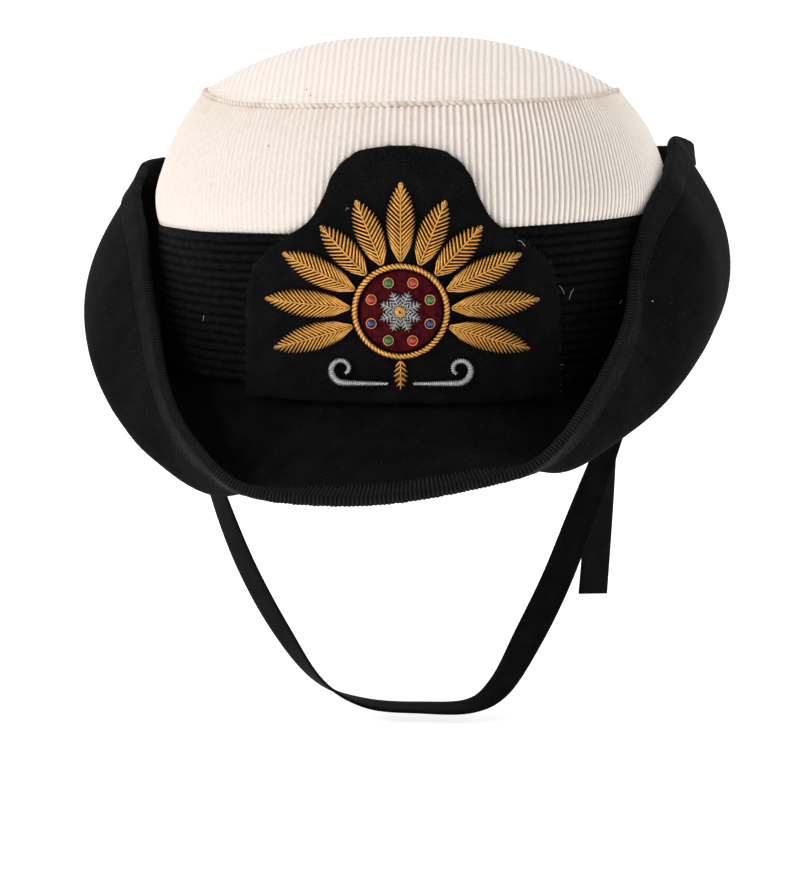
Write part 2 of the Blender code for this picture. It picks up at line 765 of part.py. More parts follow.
def make_chin_strap(material):
    """The tape that loops under the chin, both its ends sewn inside the collar."""
    left = strap_seats(-STRAP_AZIMUTH)
    right = strap_seats(STRAP_AZIMUTH)[::-1]
    places = left + [strap_place(row, STRAP_DROP) for row in STRAP_ROWS] + right
    turns = [0] * len(left) + [row.turn for row in STRAP_ROWS] + [0] * len(right)
    tape_solid("chin_strap", places, turns, STRAP_STATIONS, material)


def make_strap_tail(material):
    """The tape's free end, which hangs beside the strap on the +X side."""
    top = strap_seats(TAIL_AZIMUTH)
    places = top + [strap_place(row, TAIL_DROP) for row in TAIL_ROWS]
    turns = [seat_turn(TAIL_AZIMUTH)] * len(top) + [row.turn for row in TAIL_ROWS]
    tape_solid("strap_tail", places, turns, TAIL_STATIONS, material)


def clear_scene():
    """Removes what a new file holds."""
    for thing in list(bpy.data.objects):
        bpy.data.objects.remove(thing, do_unlink=True)


def main():
    """Builds the hat from the brim up, then the badge and the straps."""
    clear_scene()
    felt = new_material("black_felt", (0.010, 0.010, 0.012), 0.95)
    ribbon = new_material("black_ribbon", (0.014, 0.014, 0.017), 0.75)
    braid = new_material("black_braid", (0.009, 0.009, 0.011), 0.85)
    white = new_material("white_cloth", (0.86, 0.83, 0.79), 0.85)
    tape = new_material("black_tape", (0.012, 0.012, 0.014), 0.6)
    gold = new_material("gold_bullion", (0.80, 0.52, 0.15), 0.35, 0.9)
    silver = new_material("silver_bullion", (0.62, 0.62, 0.62), 0.3, 0.9)
    velvet = new_material("red_velvet", (0.10, 0.006, 0.012), 0.9)
    beads = [new_material("bead_red", (0.55, 0.02, 0.02), 0.3),
             new_material("bead_green", (0.02, 0.25, 0.08), 0.3),
             new_material("bead_blue", (0.02, 0.03, 0.25), 0.3)]

    sheet = brim_sheet()
    make_brim(sheet, felt)
    make_binding(sheet, ribbon)
    ring_solid("crown_side", crown_section, white)
    ring_solid("crown_seam", seam_section, white)
    make_crown_tip(white)
    ring_solid("hat_band", band_section, braid)
    make_patch(felt)
    make_velvet(velvet)
    make_rim(gold)
    make_rosette(silver)
    make_beads(beads)
    make_petals(gold)
    make_drop(gold)
    make_scrolls(silver)
    make_chin_strap(tape)
    make_strap_tail(tape)


main()
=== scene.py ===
"""The looks of the tricorn hat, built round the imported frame, in metres with +Z up.

The hat faces -Y and sits with the middle of its head opening at the origin. Azimuth is measured round the
head oval from the front, positive towards +X. A place on the hat is given by its azimuth, its distance out
from the head oval and its rise above the head opening. A place on the badge is given as across and rise.
"""

import math

import bmesh
import bpy
import numpy as np
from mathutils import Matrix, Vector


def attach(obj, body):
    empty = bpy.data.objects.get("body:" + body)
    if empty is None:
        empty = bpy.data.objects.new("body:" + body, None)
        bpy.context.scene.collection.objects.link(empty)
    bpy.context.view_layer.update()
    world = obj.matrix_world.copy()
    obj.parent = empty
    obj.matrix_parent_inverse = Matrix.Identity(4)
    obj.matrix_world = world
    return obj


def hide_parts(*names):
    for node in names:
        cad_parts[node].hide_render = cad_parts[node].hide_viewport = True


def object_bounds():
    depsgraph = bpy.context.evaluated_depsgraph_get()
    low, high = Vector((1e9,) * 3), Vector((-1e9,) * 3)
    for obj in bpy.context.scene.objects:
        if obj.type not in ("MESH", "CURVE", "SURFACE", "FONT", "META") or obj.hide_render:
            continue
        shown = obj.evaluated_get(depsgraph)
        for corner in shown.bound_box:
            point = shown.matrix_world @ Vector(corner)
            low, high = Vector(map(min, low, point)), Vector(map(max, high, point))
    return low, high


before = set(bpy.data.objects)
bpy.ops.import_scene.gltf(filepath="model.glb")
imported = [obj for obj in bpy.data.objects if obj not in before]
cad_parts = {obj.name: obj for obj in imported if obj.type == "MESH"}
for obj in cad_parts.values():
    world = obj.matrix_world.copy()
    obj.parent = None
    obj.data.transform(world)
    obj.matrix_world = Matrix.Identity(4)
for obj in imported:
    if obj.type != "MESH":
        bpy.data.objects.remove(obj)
cad_box = [list(corner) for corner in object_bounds()]

MM = 0.001
TURN = 2 * math.pi

# Head opening
HEAD_HALF_WIDTH = 81.5 * MM
HEAD_HALF_LENGTH = 96.0 * MM

# Felt brim with its collar, and the ribbon round its edge
FELT = 2.0 * MM
COLLAR_FOOT = 0.5 * MM
BRIM_DROP = 2.5 * MM
BRIM_WIDTH = 78.0 * MM
BINDING_WIDTH = 7.8 * MM
RIBBON = 0.65 * MM
RIBBON_RIB = 1.3 * MM
RIBBON_RELIEF = 0.4 * MM
STITCH_PITCH = 2.7 * MM
STITCH_RADIUS = 0.2 * MM

# White crown
GAP = 0.3 * MM
CROWN_CLOTH = 1.6 * MM
CROWN_OUT = FELT + GAP + CROWN_CLOTH
CROWN_HEIGHT = 92.5 * MM
CROWN_SWELL = 4.4 * MM
CROWN_RIB = 2.15 * MM
CROWN_RELIEF = 0.58 * MM
RIB_SLANT = 0.32
RIB_SAMPLES = 8
PANEL_FOOT = 4.0 * MM
SEAM_INSET = 9.0 * MM
SEAM_DIP = 4.2 * MM
SEAM_SLANT = 0.35
SEAM_CORNER = 6
SEAM_ROLL = 0.9 * MM
SEAM_WIDTH = 1.7 * MM
SEAM_HEIGHT = 2.1 * MM
SEAM_LIFT = 0.7 * MM
TIP_INSET = SEAM_INSET + SEAM_WIDTH - 0.1 * MM
TIP_HALF_WIDTH = HEAD_HALF_WIDTH - TIP_INSET
TIP_HALF_LENGTH = HEAD_HALF_LENGTH - TIP_INSET
TIP_RISE = 18.3 * MM
TIP_FULLNESS = 2.6
TIP_RELIEF = 0.32 * MM
TIP_SPAN = 0.997

# Corded band
BAND_FOOT = 2.0 * MM
BAND_HEIGHT = 48.6 * MM
BAND_THICKNESS = 2.2 * MM
BAND_OUT = CROWN_OUT + GAP + BAND_THICKNESS
BAND_TILT = math.radians(2.0)
BAND_CORDS = 16
CORD_DEPTH = 1.25 * MM
CORD_ROUNDNESS = 0.62

# Patch and badge
PATCH_HALF_WIDTH = 49.0 * MM
PATCH_HEIGHT = 78.4 * MM
PATCH_FOOT = -1.5 * MM
PATCH_CLOTH = 1.5 * MM
PATCH_STAND = 1.0 * MM
PATCH_SEAT = 0.6 * MM
BADGE_RISE = 27.0 * MM
BADGE_SEAT = 0.4 * MM
BADGE_REACH = 42.0 * MM
VELVET_RADIUS = 12.4 * MM
VELVET_THICKNESS = 1.4 * MM
VELVET_TOP = BADGE_SEAT + VELVET_THICKNESS + 0.1 * MM
RIM_THICKNESS = 2.2 * MM
RIM_RADIUS = VELVET_RADIUS + GAP + RIM_THICKNESS / 2
ROPE_TURNS = 36
ROPE_WIRE = 0.58 * MM
ROPE_TWIST = 0.5 * MM
ROSETTE_RADIUS = 6.6 * MM
ROSETTE_LOBES = 8
BEAD_RADIUS = 1.35 * MM
BEAD_COUNT = 8
BEAD_WIRE = 0.26 * MM
PETAL_WIDTH = 8.6 * MM
PETAL_THICKNESS = 2.3 * MM
PETAL_STEP = math.radians(21.6)
DROP_FOOT = 4.2 * MM
DROP_WIDTH = 4.3 * MM
DROP_THICKNESS = 1.8 * MM
SCROLL_FOOT = 6.2 * MM
SCROLL_ROOT = 3.9 * MM
SCROLL_REACH = 26.0 * MM
SCROLL_COIL = 4.2 * MM
SCROLL_THICKNESS = 2.6 * MM
SCROLL_PITCH = 0.62 * MM
SCROLL_WIRE = 0.3 * MM
WIRE = 0.33 * MM
FINE_WIRE = 0.2 * MM

# Chin strap and its free end
STRAP_WIDTH = 13.0 * MM
STRAP_CLOTH = 1.0 * MM
STRAP_SEAT = 0.7 * MM
STRAP_DROP = 119.0 * MM
STRAP_TOP = 17.0 * MM
TAIL_DROP = 89.0 * MM
STRAP_AZIMUTH = 90
TAIL_AZIMUTH = 104

# Hairs: how many, their length, radius and lean, and a random seed
FELT_HAIRS = (9000, 1.1 * MM, 0.022 * MM, 1.1, 21)
BAND_HAIRS = (9000, 1.3 * MM, 0.022 * MM, 1.0, 74)
PATCH_EDGE_HAIRS = (1500, 0.9 * MM, 0.025 * MM, 0.8, 82)
PATCH_HAIRS = (2200, 0.8 * MM, 0.02 * MM, 1.2, 83)
VELVET_PILE = (2600, 0.35 * MM, 0.04 * MM, 0.5, 92)

# Camera, floor and surround
CAMERA_DISTANCE = 0.760
CAMERA_HEIGHT = 0.095
CAMERA_AZIMUTH = math.radians(1.7)
CAMERA_PITCH = math.radians(9.45)
CAMERA_LENS = 87.4
FOCUS_PX = 2156.0
AXIS_OFFSET_PX = 11.0
FLOOR_GAP = 4.0 * MM
FLOOR_GLOW = 0.7
SURROUND_STRENGTH = 0.45

# Lights: place, size, power and colour, all facing one point
LIGHT_AIM = (0, 0, 0.04)
LIGHTS = {
    "left": ((-1.25, -0.85, 0.85), 0.45, 8.2, (1.0, 0.97, 0.94)),
    "above": ((0.0, 0.20, 1.60), 0.6, 11, (1.0, 0.98, 0.96)),
}

# Collar from its top down into the brim: out and rise in millimetres
COLLAR_ROWS = ((1.0, 22.0), (1.0, 14.0), (1.0, 6.0), (1.02, 2.0), (1.15, 0.0), (1.5, -1.4))

# Brim sections round the head: azimuth, the edge's out and rise, then the angle and reach with which the
# section leaves the collar and arrives at the edge: shares of BRIM_WIDTH, and degrees above level
BRIM_ROWS = (
    (-160, 0.18, 0.78, -6, 0.56, 106, 0.42),
    (-140, 0.27, 0.83, -2, 0.52, 97, 0.42),
    (-123, 0.43, 0.85, 0, 0.45, 92, 0.42),
    (-105, 0.28, 0.785, 6, 0.505, 129, 0.55),
    (-79, 0.15, 0.595, -6, 0.545, 123, 0.51),
    (-60, 0.19, 0.28, -39, 0.555, 111, 0.46),
    (-50, 0.26, 0.12, -51, 0.58, 104, 0.42),
    (-39, 0.37, -0.075, -60, 0.56, 86, 0.38),
    (-30, 0.47, -0.19, -57, 0.50, 62, 0.34),
    (-21, 0.56, -0.295, -44, 0.35, 24, 0.24),
    (-11, 0.61, -0.32, -30, 0.20, -5, 0.18),
    (0, 0.615, -0.30, -25, 0.20, -10, 0.18),
    (11, 0.59, -0.25, -23, 0.20, 0, 0.18),
    (18, 0.55, -0.20, -34, 0.32, 30, 0.20),
    (26, 0.455, -0.06, -44, 0.44, 72, 0.32),
    (36, 0.33, 0.14, -46, 0.445, 95, 0.38),
    (45, 0.23, 0.31, -42, 0.45, 102, 0.40),
    (52, 0.155, 0.51, -34, 0.47, 108, 0.42),
    (60, 0.122, 0.70, -24, 0.44, 115, 0.46),
    (71, 0.119, 0.83, -8, 0.385, 127, 0.48),
    (82, 0.105, 0.885, 3, 0.37, 132, 0.545),
    (103, 0.185, 0.967, 8, 0.44, 129, 0.62),
    (121, 0.455, 0.915, 4, 0.47, 88, 0.44),
    (138, 0.30, 0.895, -2, 0.50, 96, 0.42),
    (160, 0.19, 0.82, -6, 0.55, 106, 0.42),
    (180, 0.17, 0.78, -8, 0.56, 108, 0.42),
)

# Ribbon on the felt: place across the brim, lift as a share of its thickness, and how strong its ribs are
FLANK_ROWS = (
    (1.0, 0.1, 0.0), (1.02, 0.7, 0.6), (1.06, 1.0, 1.0), (1.25, 1.0, 1.0), (1.5, 1.0, 1.0),
    (1.75, 1.0, 1.0), (1.92, 1.0, 1.0), (1.98, 0.95, 0.9), (2.0, 0.85, 0.8),
)

# The ribbon's fold round the felt's edge: ahead and up as shares of half the whole thickness, rib strength
FOLD_ROWS = (
    (0.30, 0.97, 0.7), (0.55, 0.78, 0.85), (0.72, 0.42, 1.0), (0.78, 0.0, 1.0),
    (0.72, -0.42, 1.0), (0.55, -0.78, 0.85), (0.30, -0.97, 0.7),
)

# Crown panel: rise as a share of its height above the band, then shares of its swell and its inset
CROWN_ROWS = (
    (0.00, 0.45, 0.00), (0.08, 0.62, 0.00), (0.21, 0.70, 0.00),
    (0.46, 0.36, 0.10), (0.74, 0.00, 0.38), (1.00, 0.00, 1.00),
)

# Where the crown panel's edge curls in to the seam: inwards and up in millimetres, and rib strength
TUCK_ROWS = ((0.25, 0.10, 0.8), (0.50, 0.05, 0.5), (0.65, -0.20, 0.2), (0.70, -0.70, 0.0))

# Patch outline: rise as a share of its height, half width as a share of its own
PATCH_ROWS = (
    (0.00, 1.00), (0.24, 0.99), (0.44, 0.97), (0.54, 0.91), (0.62, 0.775), (0.70, 0.585),
    (0.80, 0.48), (0.90, 0.41), (0.955, 0.325), (0.99, 0.19), (1.00, 0.07),
)

# Petals: reach from the badge's centre as a share of its whole reach, from the middle one outwards
PETAL_REACHES = (0.93, 0.86, 0.84, 0.95, 1.00, 0.98)

# A leaf from root to tip: place along it, half width and padding as shares of its full ones
LEAF_ROWS = (
    (0.00, 0.26, 0.55), (0.20, 0.70, 0.85), (0.45, 0.98, 1.00),
    (0.72, 0.84, 0.90), (0.90, 0.46, 0.60), (1.00, 0.08, 0.30),
)

# Straps: across and ahead as shares of the head oval's half axes, drop as a share, and turn in degrees
STRAP_ROWS = (
    (-0.965, -0.03, 0.09, -6), (-0.92, 0.0, 0.24, -20), (-0.84, 0.08, 0.41, -34),
    (-0.71, 0.17, 0.61, -40), (-0.55, 0.25, 0.79, -38), (-0.38, 0.31, 0.93, -22),
    (-0.18, 0.34, 0.99, -4), (0.06, 0.35, 1.0, 0), (0.27, 0.34, 0.995, 6),
    (0.395, 0.31, 0.94, 28), (0.515, 0.27, 0.80, 43), (0.635, 0.20, 0.64, 45),
    (0.75, 0.12, 0.45, 42), (0.86, 0.04, 0.26, 30), (0.955, -0.02, 0.10, 10),
)
TAIL_ROWS = (
    (0.92, -0.21, 0.12, 14), (0.87, -0.20, 0.36, 40),
    (0.84, -0.17, 0.68, 52), (0.815, -0.14, 1.0, 56),
)

# Lint: azimuth on the band or place across the patch, rise and length in millimetres, turn in degrees
BAND_LINT = (
    (34.0, 32.0, 3.6, -50), (36.5, 30.5, 3.8, 60), (34.0, 8.0, 2.4, 10),
    (-47.0, 21.0, 1.8, 75), (52.0, 26.0, 1.6, 30),
)
PATCH_LINT = ((36.3, 47.3, 3.0, -40), (-16.0, 58.0, 1.1, 20))

# Specks of dirt on the white crown and of lint on the felt: azimuth, then out, rise and size in millimetres
CROWN_SPECKS = (
    (-28.5, -14.9, 93.6, 0.42), (-25.1, -10.9, 91.9, 0.40), (-30.5, 1.0, 76.3, 0.45),
    (-28.5, 7.1, 56.5, 0.34), (14.0, 0.8, 78.5, 0.26),
)
FELT_SPECKS = ((52.6, 17.6, 26.7, 0.40), (-82.0, 31.4, 30.0, 0.25))


# Arrays of points

def unit(vectors):
    """Vectors of length one."""
    return vectors / np.maximum(np.linalg.norm(vectors, axis=-1, keepdims=True), 1e-12)


def outwards(points):
    """Level directions away from the hat's middle at points."""
    return unit(points * (1, 1, 0))


def head_points(azimuth, out, rise):
    """Points at distances out from the head oval, at azimuths in radians and rises."""
    azimuth, out, rise = np.broadcast_arrays(azimuth, out, rise)
    side = np.sin(azimuth)
    ahead = np.cos(azimuth)
    normal = unit(np.stack((side / HEAD_HALF_WIDTH, -ahead / HEAD_HALF_LENGTH), axis=-1))
    x = HEAD_HALF_WIDTH * side + out * normal[..., 0]
    y = -HEAD_HALF_LENGTH * ahead + out * normal[..., 1]
    return np.stack((x, y, rise), axis=-1)


def oval(out):
    """The line round the head at a distance out from its oval, as a function of azimuth."""
    return lambda azimuth: head_points(azimuth, out, 0.0)


def lengths_along(points):
    """How far each point of a line lies from its first one."""
    steps = np.linalg.norm(np.diff(points, axis=0), axis=-1)
    return np.hstack((0.0, np.cumsum(steps)))


def at_lengths(wanted, lengths, line):
    """Points of a flat line at lengths along it."""
    return np.stack([np.interp(wanted, lengths, line[:, axis]) for axis in (0, 1)], axis=-1)


def even_azimuths(line_at, count=0, pitch=0, samples=1):
    """Azimuths from back to back at even steps along a line round the head, and that line's length.

    Their count is given, or else a pitch along the line and the samples for each.
    """
    fine = np.linspace(-math.pi, math.pi, 2881)
    lengths = lengths_along(line_at(fine))
    count = count or round(lengths[-1] / pitch) * samples
    return np.interp(np.arange(count) * lengths[-1] / count, lengths, fine), lengths[-1]


def read_table(table, slopes, where):
    """A table's other columns at given values of its first, on a smooth curve with slopes at its rows."""
    at = np.clip(np.searchsorted(table[:, 0], where, side="right") - 1, 0, len(table) - 2)
    b, c = table[at], table[at + 1]
    span = (c[..., 0] - b[..., 0])[..., None]
    share = (where - b[..., 0])[..., None] / span
    square = share ** 2
    cube = share ** 3
    value = (2 * cube - 3 * square + 1) * b + (3 * square - 2 * cube) * c
    value += span * ((cube - 2 * square + share) * slopes[at] + (cube - square) * slopes[at + 1])
    return value[..., 1:]


def read_rows(rows, where):
    """A table's other columns at given values of its first, which are kept within its ends."""
    table = np.array(rows, float)
    slopes = np.gradient(table, table[:, 0], axis=0)
    return read_table(table, slopes, np.clip(where, table[0, 0], table[-1, 0]))


def read_brim(azimuth):
    """The brim table's columns at azimuths in radians, read smoothly round the ring."""
    table = np.array(BRIM_ROWS, float)
    full = (360, 0, 0, 0, 0, 0, 0)
    ring = np.vstack((table[-1:] - full, table, table[:2] + full))
    slopes = (ring[2:] - ring[:-2]) / (ring[2:, :1] - ring[:-2, :1])
    degrees = table[0, 0] + (np.degrees(azimuth) - table[0, 0]) % 360
    return read_table(ring[1:-1], slopes, degrees)


def smooth_line(keys, count):
    """Evenly shared points on a smooth curve through the given ones."""
    ends = np.vstack((keys[:1] * 2 - keys[1:2], keys, keys[-1:] * 2 - keys[-2:-1]))
    place = np.linspace(0, len(keys) - 1, count)
    span = np.minimum(place.astype(int), len(keys) - 2)
    t = (place - span)[:, None]
    a, b, c, d = (ends[span + step] for step in range(4))
    return 0.5 * (2 * b + (c - a) * t + (2 * a - 5 * b + 4 * c - d) * t ** 2
                  + (3 * b - a - 3 * c + d) * t ** 3)


def ripple(points, wavelength, seed, waves=9):
    """A smooth random field over points, mostly between -1 and 1."""
    random = np.random.default_rng(seed)
    ways = unit(random.normal(size=(waves, 3)))
    steps = TURN / (wavelength * random.uniform(0.7, 1.5, size=(waves, 1)))
    phases = random.uniform(0, TURN, size=waves)
    return np.sin(points @ (ways * steps).T + phases).sum(axis=-1) / math.sqrt(waves)


def rib(phase, roundness=1.8):
    """Ribs, one for each unit: 0 in each groove, 1 on each rib, with narrower grooves for less roundness."""
    return np.abs(np.sin(math.pi * phase)) ** roundness


def grid_normals(points):
    """Normals of a grid that is closed round the head and open outwards."""
    along = np.roll(points, -1, axis=0) - np.roll(points, 1, axis=0)
    return unit(np.cross(np.gradient(points, axis=1), along))


def tube_rings(paths, ups, radii, sides):
    """Rings of round tubes along paths of points, for one path or an array of them."""
    along = unit(np.gradient(paths, axis=-2))
    side = unit(np.cross(along, np.broadcast_to(ups, paths.shape)))
    up = np.cross(side, along)
    turn = TURN * (np.arange(sides) + 0.5) / sides
    radii = np.broadcast_to(radii, paths.shape[:-1])[..., None, None]
    across = side[..., None, :] * np.cos(turn)[:, None]
    over = up[..., None, :] * np.sin(turn)[:, None]
    return paths[..., None, :] + radii * (across + over)


def fuzz(points, normals, count, length, radius, lean, seed):
    """Fine tapered hairs on a surface given by its points and normals, which lean and bend at random."""
    random = np.random.default_rng(seed)
    chosen = random.integers(0, len(points), count)
    normals = normals[chosen]
    ways = unit(normals + random.normal(size=(count, 3)) * lean)
    spread = random.normal(size=(count, 3)) * length * 0.4
    spread -= normals * (spread * normals).sum(axis=-1, keepdims=True)
    lengths = length * random.uniform(0.4, 1.3, (count, 1))
    random = np.random.default_rng(seed + 1)
    roots = points[chosen] + spread
    tips = roots + ways * lengths + unit(random.normal(size=(count, 3))) * (lengths * 0.5)
    ups = unit(np.cross(ways, random.normal(size=(count, 3))))[:, None, :]
    return tube_rings(np.stack((roots, tips), axis=1), ups, radius * np.array((1.0, 0.3)), 3)


def woven(rings, along, across=0.0, height=None, inside=0.0):
    """Each point's weave, whose height is given for the outside, which comes first in each ring."""
    weave = np.full(rings.shape, inside)
    weave[..., 0] = along
    weave[..., 1] = across
    if height is not None:
        weave[:, :height.shape[-1], 2] = height
    return weave


# Building meshes

def add_object(name, data):
    """A new object in the scene."""
    made = bpy.data.objects.new(name, data)
    bpy.context.scene.collection.objects.link(made)
    return made


class Form:
    """Points and faces gathered from closed forms, which become one mesh."""

    def __init__(self):
        self.points = []
        self.faces = []
        self.weave = []
        self.count = 0

    def add(self, rings, closed=False, weave=None):
        """Adds forms of rings: an array of forms, rings, points and coordinates, or of the last three."""
        size = rings.size // 3
        index = (self.count + np.arange(size)).reshape(-1, *rings.shape[-3:-1])
        here = index if closed else index[:, :-1]
        there = np.roll(index, -1, axis=1) if closed else index[:, 1:]
        quads = np.stack((here, np.roll(here, -1, axis=2), np.roll(there, -1, axis=2), there), axis=-1)
        self.faces += quads.reshape(-1, 4).tolist()
        if not closed:
            self.faces += index[:, 0, ::-1].tolist()
            self.faces += index[:, -1].tolist()
        self.points.append(rings.reshape(-1, 3))
        self.weave.append(np.zeros((size, 3)) if weave is None else weave.reshape(-1, 3))
        self.count += size
        return self

    def add_wires(self, paths, radii, sides=7, closed=False):
        """Round wires along paths of points, for one path or an array of them."""
        if closed:
            paths = np.vstack((paths[-1:], paths, paths[:1]))
        rings = tube_rings(paths, outwards(paths), radii, sides)
        weave = np.zeros(rings.shape)
        steps = np.linalg.norm(np.diff(paths, axis=-2), axis=-1)
        weave[..., 1:, :, 0] = np.cumsum(steps, axis=-1)[..., None]
        # Height runs from 0 under each wire to 1 on its top; the wire finishes paint shade where it is low.
        weave[..., 2] = 0.5 + 0.5 * np.sin(TURN * (np.arange(sides) + 0.5) / sides)
        if closed:
            rings, weave = rings[1:-1], weave[1:-1]
        return self.add(rings, closed=closed, weave=weave)

    def build(self, name, material):
        """The object itself."""
        mesh = bpy.data.meshes.new(name)
        mesh.from_pydata(np.vstack(self.points), [], self.faces)
        whole = bmesh.new()
        whole.from_mesh(mesh)
        bmesh.ops.recalc_face_normals(whole, faces=whole.faces[:])
        whole.to_mesh(mesh)
        whole.free()
        mesh.shade_smooth()
        mesh.attributes.new("weave", "FLOAT_VECTOR", "POINT")
        mesh.attributes["weave"].data.foreach_set("vector", np.vstack(self.weave).ravel())
        mesh.materials.append(material)
        return add_object(name, mesh)

    def make(self, name, material, slot, *replaced):
        """A piece, which rides on the hat and may replace CAD nodes."""
        piece = self.build(name, material)
        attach(piece, "root")
        if replaced:
            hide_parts(*replaced)
        return piece


# Materials

# The weave's numbers at a point: its places along and across in metres, and 0 in a groove to 1 on a crest
ALONG, ACROSS, HEIGHT = range(3)


def rgba(shade):
    """A colour or a grey level as an opaque colour."""
    return (*shade, 1) if isinstance(shade, tuple) else (shade, shade, shade, 1)


def cloth(sheen, sheen_roughness, gloss):
    """A cloth's shader values."""
    return dict(Sheen_Weight=sheen, Sheen_Roughness=sheen_roughness, Specular_IOR_Level=gloss)


class Finish:
    """A material in the making: a shader with its own values, and nodes that vary them over the surface."""

    def __init__(self, name, colour, roughness, **values):
        self.material = bpy.data.materials.new(name)
        self.material.use_nodes = True
        self.tree = self.material.node_tree
        self.shader = self.tree.nodes["Principled BSDF"]
        for socket, value in dict(values, Base_Color=rgba(colour), Roughness=roughness).items():
            self.shader.inputs[socket.replace("_", " ")].default_value = value

    def node(self, kind, inputs, **settings):
        """A node whose inputs are values or other nodes' outputs."""
        made = self.tree.nodes.new(kind)
        for key, value in settings.items():
            setattr(made, key, value)
        for key, value in inputs.items():
            if isinstance(value, bpy.types.NodeSocket):
                self.tree.links.new(value, made.inputs[key])
            else:
                made.inputs[key].default_value = value
        return made

    def weave(self, which):
        """One number of the weave at a point."""
        stored = self.node("ShaderNodeAttribute", {}, attribute_name="weave").outputs["Vector"]
        return self.node("ShaderNodeSeparateXYZ", {0: stored}).outputs[which]

    def math(self, operation, *values):
        """One sum on sockets or numbers."""
        return self.node("ShaderNodeMath", dict(enumerate(values)), operation=operation).outputs[0]

    def noise(self, size, detail=2.0):
        """Random cloudiness whose patches have a size in metres, from 0 to 1."""
        place = self.node("ShaderNodeTexCoord", {}).outputs["Object"]
        inputs = {"Vector": place, "Scale": 1 / size, "Detail": detail}
        return self.node("ShaderNodeTexNoise", inputs).outputs["Fac"]

    def threads(self, coordinate, pitch):
        """Rounded threads across a coordinate in metres, from 0 to 1."""
        phase = self.math("MULTIPLY", coordinate, TURN / pitch)
        return self.math("MULTIPLY_ADD", self.math("SINE", phase), 0.5, 0.5)

    def tint(self, *layers):
        """Colours the surface by layers that multiply: a factor, then two of its values with their shades."""
        colour = None
        for factor, low, low_shade, high, high_shade in layers:
            ramp = self.node("ShaderNodeValToRGB", {"Fac": factor})
            for element, place, shade in zip(ramp.color_ramp.elements, (low, high), (low_shade, high_shade)):
                element.position = place
                element.color = rgba(shade)
            made = ramp.outputs["Color"]
            if colour is not None:
                inputs = {0: 1.0, 6: colour, 7: made}
                made = self.node("ShaderNodeMix", inputs, data_type="RGBA", blend_type="MULTIPLY").outputs[2]
            colour = made
        self.tree.links.new(colour, self.shader.inputs["Base Color"])
        return self.material

    def bump(self, *layers):
        """Fine relief from layers of height, each a socket, a depth in metres and a strength."""
        inputs = {}
        for height, depth, strength in layers:
            inputs.update(Height=height, Distance=depth, Strength=strength)
            inputs["Normal"] = self.node("ShaderNodeBump", inputs).outputs["Normal"]
        self.tree.links.new(inputs["Normal"], self.shader.inputs["Normal"])
        return self.material


def cloudy_finish(name, colour, roughness, size, dark, light, low=0.3, **values):
    """A plain material, cloudy between two shades: loose hairs, lint, dirt or glass beads."""
    finish = Finish(name, colour, roughness, **values)
    return finish.tint((finish.noise(size), low, dark, 0.7, light))


def felt_finish(name, dark, light):
    """Black felt or napped cloth: matt, a little cloudy, with fine matted fibres."""
    finish = Finish(name, dark, 0.95, **cloth(0.012, 0.5, 0.02), Sheen_Tint=rgba((0.9, 0.85, 0.87)))
    finish.tint((finish.noise(9 * MM, 6.0), 0.35, dark, 0.7, light),
                (finish.noise(0.8 * MM), 0.3, 0.6, 0.7, 1.0))
    return finish.bump((finish.noise(0.7 * MM, 3.0), 0.25 * MM, 0.6), (finish.noise(4 * MM), 0.4 * MM, 0.35))


def ribbon_finish():
    """The grosgrain binding: painted highlight lightens its ribs' crests, and painted shade darkens the dips
    between them.
    """
    finish = Finish("black_ribbon_ribbed", 0.006, 0.6, **cloth(0.005, 0.4, 0.04))
    # Painted shade between the ribs and painted highlight on their crests, by the weave's height.
    finish.tint((finish.weave(HEIGHT), 0.25, 0.002, 0.9, 0.017),
                (finish.noise(2.5 * MM, 3.0), 0.3, 0.6, 0.7, (1.0, 1.0, 1.05)))
    return finish.bump((finish.threads(finish.weave(ALONG), 0.32 * MM), 0.05 * MM, 0.5),
                       (finish.noise(0.6 * MM), 0.1 * MM, 0.4))


def braid_finish():
    """The band's hairy cords, with short crosswise lumps where they are bound together, and painted shade
    between the cords and between the lumps.
    """
    finish = Finish("black_braid_corded", 0.003, 0.75, **cloth(0.01, 0.4, 0.03))
    lumps = finish.threads(finish.weave(ALONG), 1.5 * MM)
    # Painted shade in the valleys between cords and between lumps, and a faint painted highlight on the
    # cords' crests.
    finish.tint((finish.weave(HEIGHT), 0.3, 0.001, 0.9, 0.004), (lumps, 0.0, 0.75, 0.6, 1.0),
                (finish.noise(1.8 * MM, 3.0), 0.3, 0.5, 0.75, 1.3))
    return finish.bump((lumps, 0.2 * MM, 0.5), (finish.noise(0.8 * MM, 3.0), 0.25 * MM, 0.7))


def white_finish(name, groove, crest, soil):
    """Warm white ribbed cloth: greyer in the grooves by painted shade, and soiled near the seam, where its
    across starts.
    """
    finish = Finish(name, crest, 0.85, **cloth(0.04, 0.5, 0.2))
    distance = finish.math("MULTIPLY", finish.weave(ACROSS), 45.0)
    near = finish.math("ADD", distance, finish.noise(7 * MM, 3.0))
    # The groove colour is painted shade, laid on by the weave's height; the soil colour is a stain near the
    # seam.
    finish.tint((finish.weave(HEIGHT), 0.05, groove, 0.75, crest), (near, 0.35, soil, 0.75, 1.0),
                (finish.noise(1.4 * MM), 0.3, 0.93, 0.6, 1.0))
    return finish.bump((finish.threads(finish.weave(ACROSS), 0.42 * MM), 0.04 * MM, 0.4),
                       (finish.noise(1.2 * MM, 3.0), 0.12 * MM, 0.3))


def tape_finish():
    """The strap's smooth close-woven tape."""
    finish = Finish("black_tape_woven", 0.005, 0.7, **cloth(0.005, 0.4, 0.02))
    finish.tint((finish.noise(6 * MM, 4.0), 0.3, 0.0035, 0.8, 0.007))
    shift = finish.math("MULTIPLY", finish.weave(ACROSS), 0.7)
    slant = finish.math("ADD", finish.weave(ALONG), shift)
    return finish.bump((finish.threads(slant, 0.7 * MM), 0.05 * MM, 0.5),
                       (finish.noise(0.8 * MM), 0.06 * MM, 0.3))


